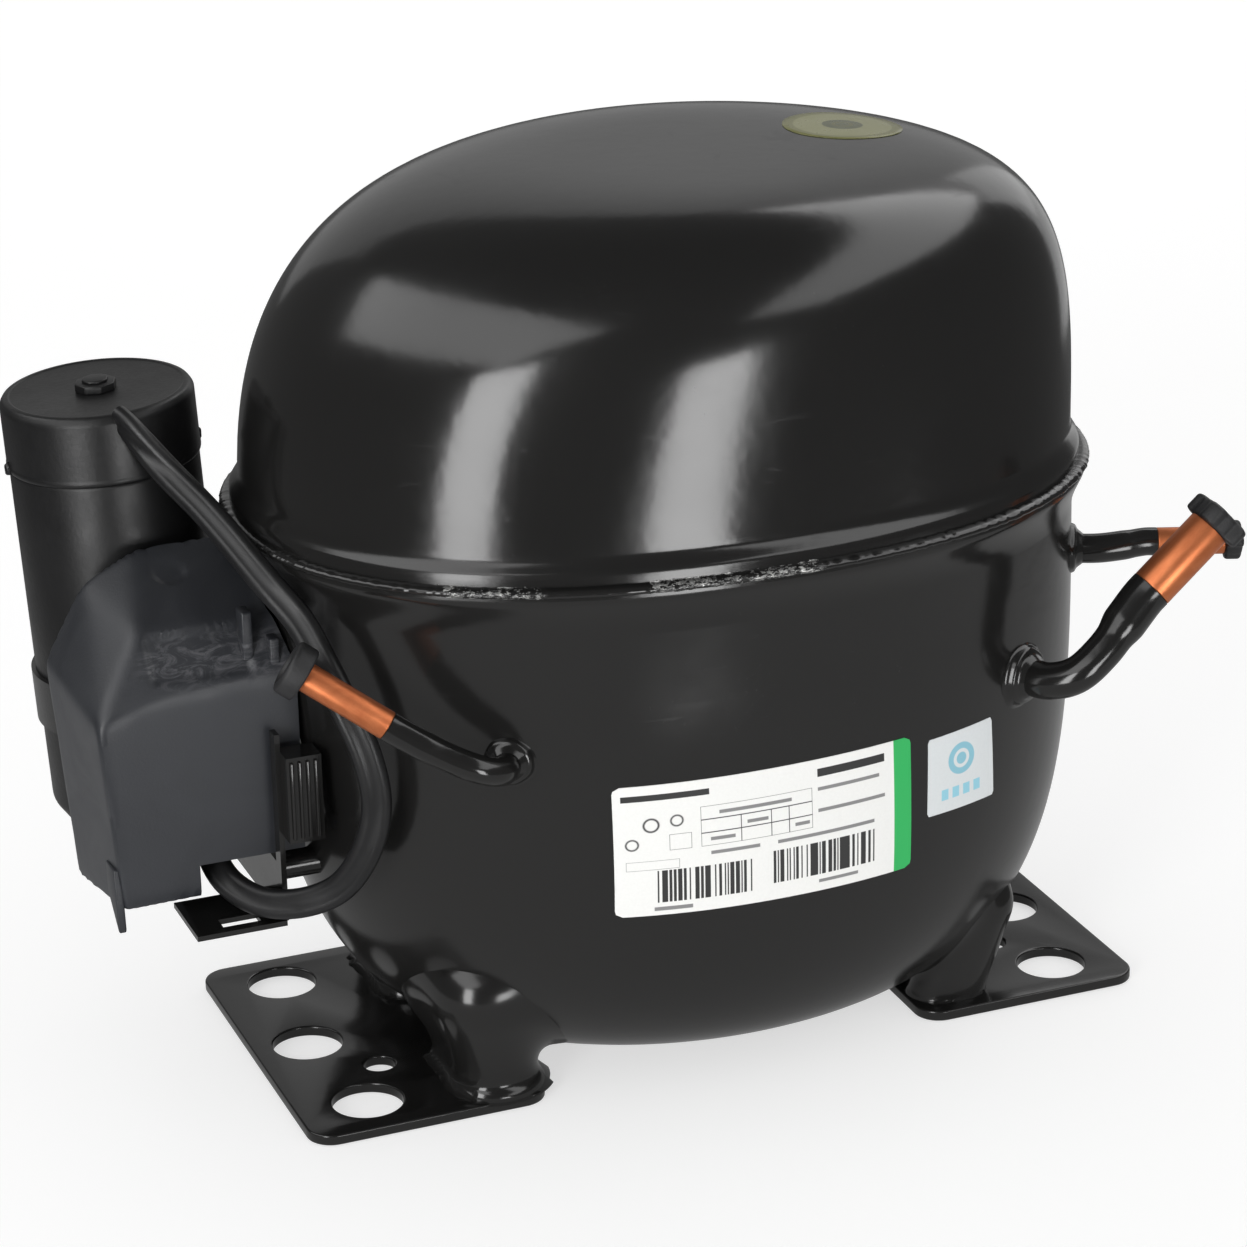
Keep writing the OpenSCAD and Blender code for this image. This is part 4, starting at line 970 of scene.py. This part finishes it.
rings = [make_tube(k, t) for k, t in (("suction", SUCTION), ("discharge", DISCHARGE), ("process", PROCESS))]
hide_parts("tube_collars")


# Radius factor of the lobed stoppers every 45 degrees: square wing, round lobe, pointed tip, small lobe
WING = ((0, 1.12), (16, 1.16), (30, 0.86), (62, 0.84), (80, 1.0), (105, 1.02), (128, 0.84), (158, 0.86),
        (178, 1.2), (188, 1.2), (208, 0.84), (240, 0.84), (262, 0.98), (280, 0.97), (305, 0.84), (340, 0.86))


def wing_wobble(turn):
    def k(angle, r, h):
        if h < 0.05:
            return 1.0
        a = (math.degrees(angle) + turn) % 360
        pts = WING + ((360, WING[0][1]),)
        for (a0, r0), (a1, r1) in zip(pts, pts[1:]):
            if a0 <= a <= a1:
                s = (a - a0) / (a1 - a0)
                return 1 + ((r0 + (r1 - r0) * s * s * (3 - 2 * s)) - 1) * min(r / 4, 1)
        return 1.0
    return k


def make_stopper(kind, t, head, height, wobble):
    along = Vector(t["along"]).normalized()
    tip = Vector(t["start"]) + along * t["length"]
    stem = t["bore"] - 0.05
    profile = rounded([(0, -8), (stem, -8), (stem, 0.1), (head, 0.1), (head, height),
                       (head * 0.72, height + 0.5), (head * 0.6, height - 0.5), (0, height - 0.7)], 0.8, 4)
    plug = lathe(f"{kind}_stopper_rubber", profile, tip, along, RUBBER, 96, wobble)
    place(plug, "stopper_rubber", f"{kind}_plug", body=f"{kind}_stopper")


make_stopper("suction", SUCTION, 6.0, 4.4, wing_wobble(20))
make_stopper("discharge", DISCHARGE, 4.5, 3.6, wing_wobble(60))
make_stopper("process", PROCESS, 6.0, 4.4, None)

# ------------------------------------------------------------------ starting gear

COVER_CORNERS = [
    (-134.3, -16.5, 96), (-131, -16.5, 55.2), (-123.6, -16.5, 100), (-90, -16.5, 101.5),
    (-123.6, -9, 110.4), (-90, -9, 111), (-136.8, 10, 99.5), (-128.8, 10, 113.8),
    (-122, 10, 117.3), (-90, 10, 119.5), (-133, 10, 51.2), (-90, -16.5, 56), (-90, 10, 55),
]
COVER_R, COVER_WALL, COVER_SHARP = 3.0, 2.0, 1.9


def hull_planes(points):
    """Outward planes of the points' convex hull, near-parallel ones kept once."""
    bm = bmesh.new()
    for q in points:
        bm.verts.new(q)
    bmesh.ops.convex_hull(bm, input=bm.verts)
    bm.normal_update()
    middle = sum((Vector(q) for q in points), Vector()) / len(points)
    planes = []
    for f in sorted(bm.faces, key=lambda f: -f.calc_area()):
        n = f.normal.copy()
        if n.length < 0.5:
            continue
        if n.dot(f.calc_center_median() - middle) < 0:
            n = -n
        if all(n.dot(m) < 0.992 for m, _ in planes):
            planes.append((n, max(n.dot(Vector(q)) for q in points)))
    bm.free()
    return np.array([tuple(n) for n, _ in planes]), np.array([d for _, d in planes])


COVER_N, COVER_D = hull_planes(COVER_CORNERS)


def cover_field(p, inset):
    gap = p @ COVER_N.T - COVER_D - COVER_R + inset
    top = gap.max(axis=1)
    value = top + np.log(np.exp(COVER_SHARP * (gap - top[:, None])).sum(axis=1)) / COVER_SHARP
    if inset:
        return value

    def between(v, lo, hi, soft=1.0):
        return np.clip((v - lo) / soft, 0, 1) * np.clip((hi - v) / soft, 0, 1)
    pocket = between(p[:, 0], -124, -101.5) * between(p[:, 2], 102.5, 112) * (p[:, 1] < -8)
    dimple = between(np.hypot(p[:, 0] + 113, (p[:, 1] - 4) * 1.2), -9, 4.2, 1.5) * (p[:, 2] > 108)
    return value + 0.75 * pocket + 0.5 * dimple


def subtract(obj, *tools):
    for tool in tools:
        mod = obj.modifiers.new("cut", "BOOLEAN")
        mod.operation = "DIFFERENCE"
        mod.solver = "EXACT"
        mod.object = tool
        mesh = evaluated_mesh(obj)
        obj.modifiers.clear()
        obj.data = mesh
        bpy.data.objects.remove(tool)


def prism(name, outline, axis, lo, hi, material, edge=0.0):
    """An outline pushed along an axis: z takes (x, y), x takes (y, z), y takes (x, z)."""
    def at(q, h):
        return {"z": (q[0], q[1], h), "x": (h, q[0], q[1]), "y": (q[0], h, q[1])}[axis]
    n = len(outline)
    verts = [at(q, lo) for q in outline] + [at(q, hi) for q in outline]
    faces = [tuple(range(n))[::-1], tuple(range(n, 2 * n))]
    faces += [(i, (i + 1) % n, n + (i + 1) % n, n + i) for i in range(n)]
    obj = new_object(name, verts, faces, material, smooth=False)
    if edge:
        with editing(obj.data) as bm:
            bmesh.ops.bevel(bm, geom=bm.edges[:], offset=edge * MM, segments=3, affect="EDGES", profile=0.5)
        shade_smooth(obj.data)
    return obj


def block(name, lo, hi, material, edge):
    return prism(name, [(lo[0], lo[1]), (hi[0], lo[1]), (hi[0], hi[1]), (lo[0], hi[1])], "z", lo[2], hi[2],
                 material, edge)


def join(first, *rest):
    with editing(first.data) as bm:
        for o in rest:
            bm.from_mesh(o.data)
    for o in rest:
        bpy.data.objects.remove(o)
    return first


def make_cover():
    middle = (-112, -3, 84)
    form, wall = (skin_object(n, *skin(middle, lambda q, k=k: cover_field(q, k), 70.0, 110, 200), COVER)
                  for n, k in (("terminal_cover_moulding", 0.0), ("cover_inside", COVER_WALL)))
    side = prism("cover_side", [(-92.6, -25), (-92.6, -19), (-95.9, -10), (-95.9, 20), (-60, 20), (-60, -25)],
                 "z", 40, 130, COVER)
    under = block("cover_under", (-116.5, -30, 40), (-80, 20, 60.4), COVER, 0.0)
    subtract(form, wall, side, under)
    form.data.materials.clear()
    form.data.materials.append(COVER)
    shade_smooth(form.data)
    sharp_by_angle(form, 38)
    trims = [
        prism("skirt", [(-17.9, 62), (-19.4, 47.5), (-11.5, 55), (-11.5, 62)], "x", -135.4, -133.6, COVER,
              0.35),
        block("finger_a", (-103.4, -16.9, 105), (-101, -12.2, 116), COVER, 0.5),
        block("finger_b", (-97.8, -18.3, 101.5), (-95.6, -14.2, 109.5), COVER, 0.5),
        lathe("boss", rounded([(0, 0), (2.2, 0), (2.2, 1.2), (1.5, 1.3), (0.9, 0.8), (0, 0.8)], 0.3, 3),
              (-94.6, -19.7, 65.6), (0, -1, 0), COVER, 32),
    ]
    place(join(form, *trims), "cover_plastic", "terminal_cover", body="cover")


make_cover()
for i, x in enumerate((-97.6, -95.8, -94.0, -92.2)):
    place(block(f"bracket_rib_{i}", (x - 0.35, -29.7, 67), (x + 0.35, -28.9, 85), PLATE_ENAMEL, 0.2),
          "bracket_enamel")

CAP_TOP = Vector((-118.5, 37, 153))
LEAN = math.radians(3)
CAP_AXIS = Vector((-math.sin(LEAN), 0, math.cos(LEAN)))
R = 21.5


def make_capacitor():
    def turned(name, profile, soft, steps, sides, *nodes, at=CAP_TOP):
        piece = lathe(name, rounded(profile, soft, steps), at, CAP_AXIS, CAPACITOR, sides)
        place(piece, "capacitor_plastic", *nodes)
    turned("capacitor_can", [(0, -100), (R - 3, -100), (R - 2.4, -99), (R - 0.5, -96), (R - 0.4, -60),
                             (R - 0.4, -15.6), (0, -15.6)], 1.2, 4, 96, "capacitor_body")
    turned("capacitor_lid", [(0, -15.9), (R + 0.05, -15.9), (R + 0.15, -14.9), (R, -14.4), (R, -1.6),
                             (R - 0.9, -0.15), (R - 2.0, 0.0), (R - 2.4, -0.25), (6, -0.35), (0, -0.35)],
           0.5, 3, 96, "capacitor_cap")
    side = CAP_AXIS.cross(Vector((0, 1, 0))).normalized()
    for i, (r, h0, h1) in enumerate(((4.7, -0.4, 1.5), (3.0, 1.4, 2.2))):
        turned(f"capacitor_nub_{i}", [(0, h0), (r, h0), (r, h1), (0, h1)], 0.35, 3, 8)
    for i, s in enumerate((-1, 1)):
        turned(f"capacitor_tab_{i}", [(0, -16.2), (0.9, -16.2), (1.0, -14), (0, -13.2)], 0.4, 3, 16,
               at=CAP_TOP + side * (s * (R + 0.1)))


make_capacitor()

for name in ("terminal_bracket", "capacitor_strap", "start_relay", "overload_protector"):
    bevel = NODES[name].modifiers.new("edge", "BEVEL")
    bevel.width = 0.0003
    bevel.segments = 2
    bevel.limit_method = "ANGLE"
    bevel.angle_limit = math.radians(40)

# ------------------------------------------------------------------ stickers


def make_label(name, corners, material, radius, columns=60, rows=40, lift=0.12):
    """A thin sticker laid on the bowl. corners: (x, z) of top left, top right, bottom right, bottom left."""
    tl, tr, br, bl = (Vector(c) for c in corners)
    wide, high = (tr - tl).length, (tl - bl).length
    verts, uvs = [], []
    for layer in (lift, 0.0):
        for j in range(rows + 1):
            v = j / rows
            dy = max(0.0, radius - min(v, 1 - v) * high)
            inset = radius - math.sqrt(max(radius ** 2 - dy ** 2, 0))
            for i in range(columns + 1):
                u = inset / wide + (1 - 2 * inset / wide) * i / columns
                flat = (bl * (1 - u) + br * u) * (1 - v) + (tl * (1 - u) + tr * u) * v
                p, n = normal_at(flat.x, flat.y)
                verts.append(p + n * (layer + 0.03))
                uvs.append((u, v))
    c = columns + 1
    count = (rows + 1) * c
    faces = grid_faces(rows + 1, c, False) + grid_faces(rows + 1, c, False, count)
    edge = ([i for i in range(c)] + [j * c + c - 1 for j in range(1, rows + 1)]
            + [rows * c + i for i in range(c - 2, -1, -1)] + [j * c for j in range(rows - 1, 0, -1)])
    faces += [(a, b, b + count, a + count) for a, b in zip(edge, edge[1:] + edge[:1])]
    obj = new_object(name, verts, faces, material, uvs=uvs)
    sharp_by_angle(obj, 60)
    place(obj, "capacitor_plastic")
    return obj


make_label("rating_label", ((-38.1, 82.6), (30.6, 83.8), (32.2, 51.3), (-36.7, 50.8)), rating_print(), 1.6)
make_label("square_label", ((35.5, 81.3), (53.9, 81.5), (55.8, 61.7), (36.1, 62.4)), square_print(), 0.4,
           24, 24)


def make_dome_sticker():
    cx, cy, r = 48.4, 6.6, 13.5
    rings_n, sides = 10, 64
    verts, uvs = [], []

    def top_z(x, y):
        lo, hi = DOME_START, DOME_TOP - 0.001
        for _ in range(40):
            mid = (lo + hi) / 2
            a, b, n, c = dome_size(mid)
            inside = (abs(x - c) / a) ** n + (abs(y) / b) ** n < 1
            lo, hi = (mid, hi) if inside else (lo, mid)
        return lo
    for lift in (0.14, 0.03):
        verts.append((cx, cy, top_z(cx, cy) + lift))
        uvs.append((0.5, 0.5))
        for k in range(1, rings_n + 1):
            for i in range(sides):
                a = 2 * math.pi * i / sides
                x, y = cx + r * k / rings_n * math.cos(a), cy + r * k / rings_n * math.sin(a)
                verts.append((x, y, top_z(x, y) + lift))
                uvs.append((0.5 + 0.5 * k / rings_n * math.cos(a), 0.5 + 0.5 * k / rings_n * math.sin(a)))
    count = 1 + rings_n * sides
    faces = []
    for base in (0, count):
        faces += [(base, base + 1 + i, base + 1 + (i + 1) % sides) for i in range(sides)]
        faces += grid_faces(rings_n, sides, True, base + 1)
    last = 1 + (rings_n - 1) * sides
    faces += [(last + i, last + (i + 1) % sides, count + last + (i + 1) % sides, count + last + i)
              for i in range(sides)]
    obj = new_object("dome_sticker", verts, faces, dome_print(), uvs=uvs)
    place(obj, "capacitor_plastic")


make_dome_sticker()

# ------------------------------------------------------------------ studio

CENTRE = Vector((0, 0, 0.10))
CEILING = 1.6
SOFT_WORLD, GLOSS_WORLD = 0.62, 0.11


def flat(name, size, z, value, glow):
    """A pale, faintly glowing square at height z."""
    m = Mat(name + "_paint")
    tone = m.ramp(m.noise(3, 2), 0.3, 0.7, 0.0, 1.0)
    m.set(Base_Color=m.mix(tone, (value, value, value), (value * 0.985, value * 0.985, value * 0.98)),
          Roughness=0.9, Specular_IOR_Level=0.1, Emission_Color=(1, 1, 1, 1), Emission_Strength=glow)
    mesh = bpy.data.meshes.new(name)
    mesh.from_pydata([(-size, -size, z), (size, -size, z), (size, size, z), (-size, size, z)], [],
                     [(0, 1, 2, 3)])
    mesh.materials.append(m.m)
    obj = add_object(name, mesh)
    return obj


floor = flat("floor", 6.0, -0.0002, 0.55, 0.60)
floor.visible_glossy = False
# The enamel reflects this darker square of floor, and the camera doesn't see it
mirror_table = flat("floor_near", 0.34, -0.0001, 0.24, 0.26)
mirror_table.visible_camera = False
mirror_table.visible_diffuse = False
mirror_table.visible_shadow = False


def make_world():
    """Soft white all round, and much darker where the gloss looks for it."""
    world = bpy.data.worlds.new("studio")
    bpy.context.scene.world = world
    world.use_nodes = True
    nt = world.node_tree
    nt.nodes.clear()
    out, mix, path = (nt.nodes.new(f"ShaderNode{kind}") for kind in ("OutputWorld", "MixShader", "LightPath"))
    nt.links.new(path.outputs["Is Glossy Ray"], mix.inputs[0])
    for i, strength in enumerate((SOFT_WORLD, GLOSS_WORLD)):
        light = nt.nodes.new("ShaderNodeBackground")
        light.inputs["Color"].default_value = (1.0, 1.0, 1.0, 1)
        light.inputs["Strength"].default_value = strength
        nt.links.new(light.outputs[0], mix.inputs[i + 1])
    nt.links.new(mix.outputs[0], out.inputs[0])


make_world()


def area_light(name, width, height, watts, location):
    data = bpy.data.lights.new(name, "AREA")
    data.shape = "RECTANGLE"
    data.size, data.size_y = width, height
    data.energy = watts
    obj = add_object(name, data)
    obj.location = location
    obj.visible_camera = False
    return obj


# Softboxes round the object: azimuth (0 = -Y, 90 = +X) and elevation, distance, width, height, watts
PANELS = (("key_left", -47, 2, 1.6, 0.46, 1.30, 18), ("key_front", 6, -10, 1.6, 0.42, 0.82, 11),
          ("rim_right", 130, 6, 1.7, 0.6, 1.2, 1.3), ("back_wall", 159, 20, 1.9, 2.6, 1.2, 3.4))
for name, azimuth, elevation, distance, width, height, watts in PANELS:
    a, e = math.radians(azimuth), math.radians(elevation)
    way = Vector((math.sin(a) * math.cos(e), -math.cos(a) * math.cos(e), math.sin(e)))
    box = area_light(name, width, height, watts, CENTRE + way * distance)
    box.rotation_euler = way.to_track_quat("Z", "Y").to_euler()

# Long softboxes overhead that only the gloss sees: x, y, width and depth in ceiling heights, radiance
STRIPS = (("ceiling_left", -1.15, -0.2, 1.0, 2.4, 2.6), ("ceiling_right", 1.1, -0.9, 1.0, 4.2, 2.2))
for name, x, y, width, depth, radiance in STRIPS:
    w, d = width * CEILING, depth * CEILING
    strip = area_light(name, w, d, radiance * math.pi * w * d, (x * CEILING, y * CEILING, CEILING + 0.1))
    strip.visible_diffuse = False

bpy.context.scene.view_settings.view_transform = "Standard"
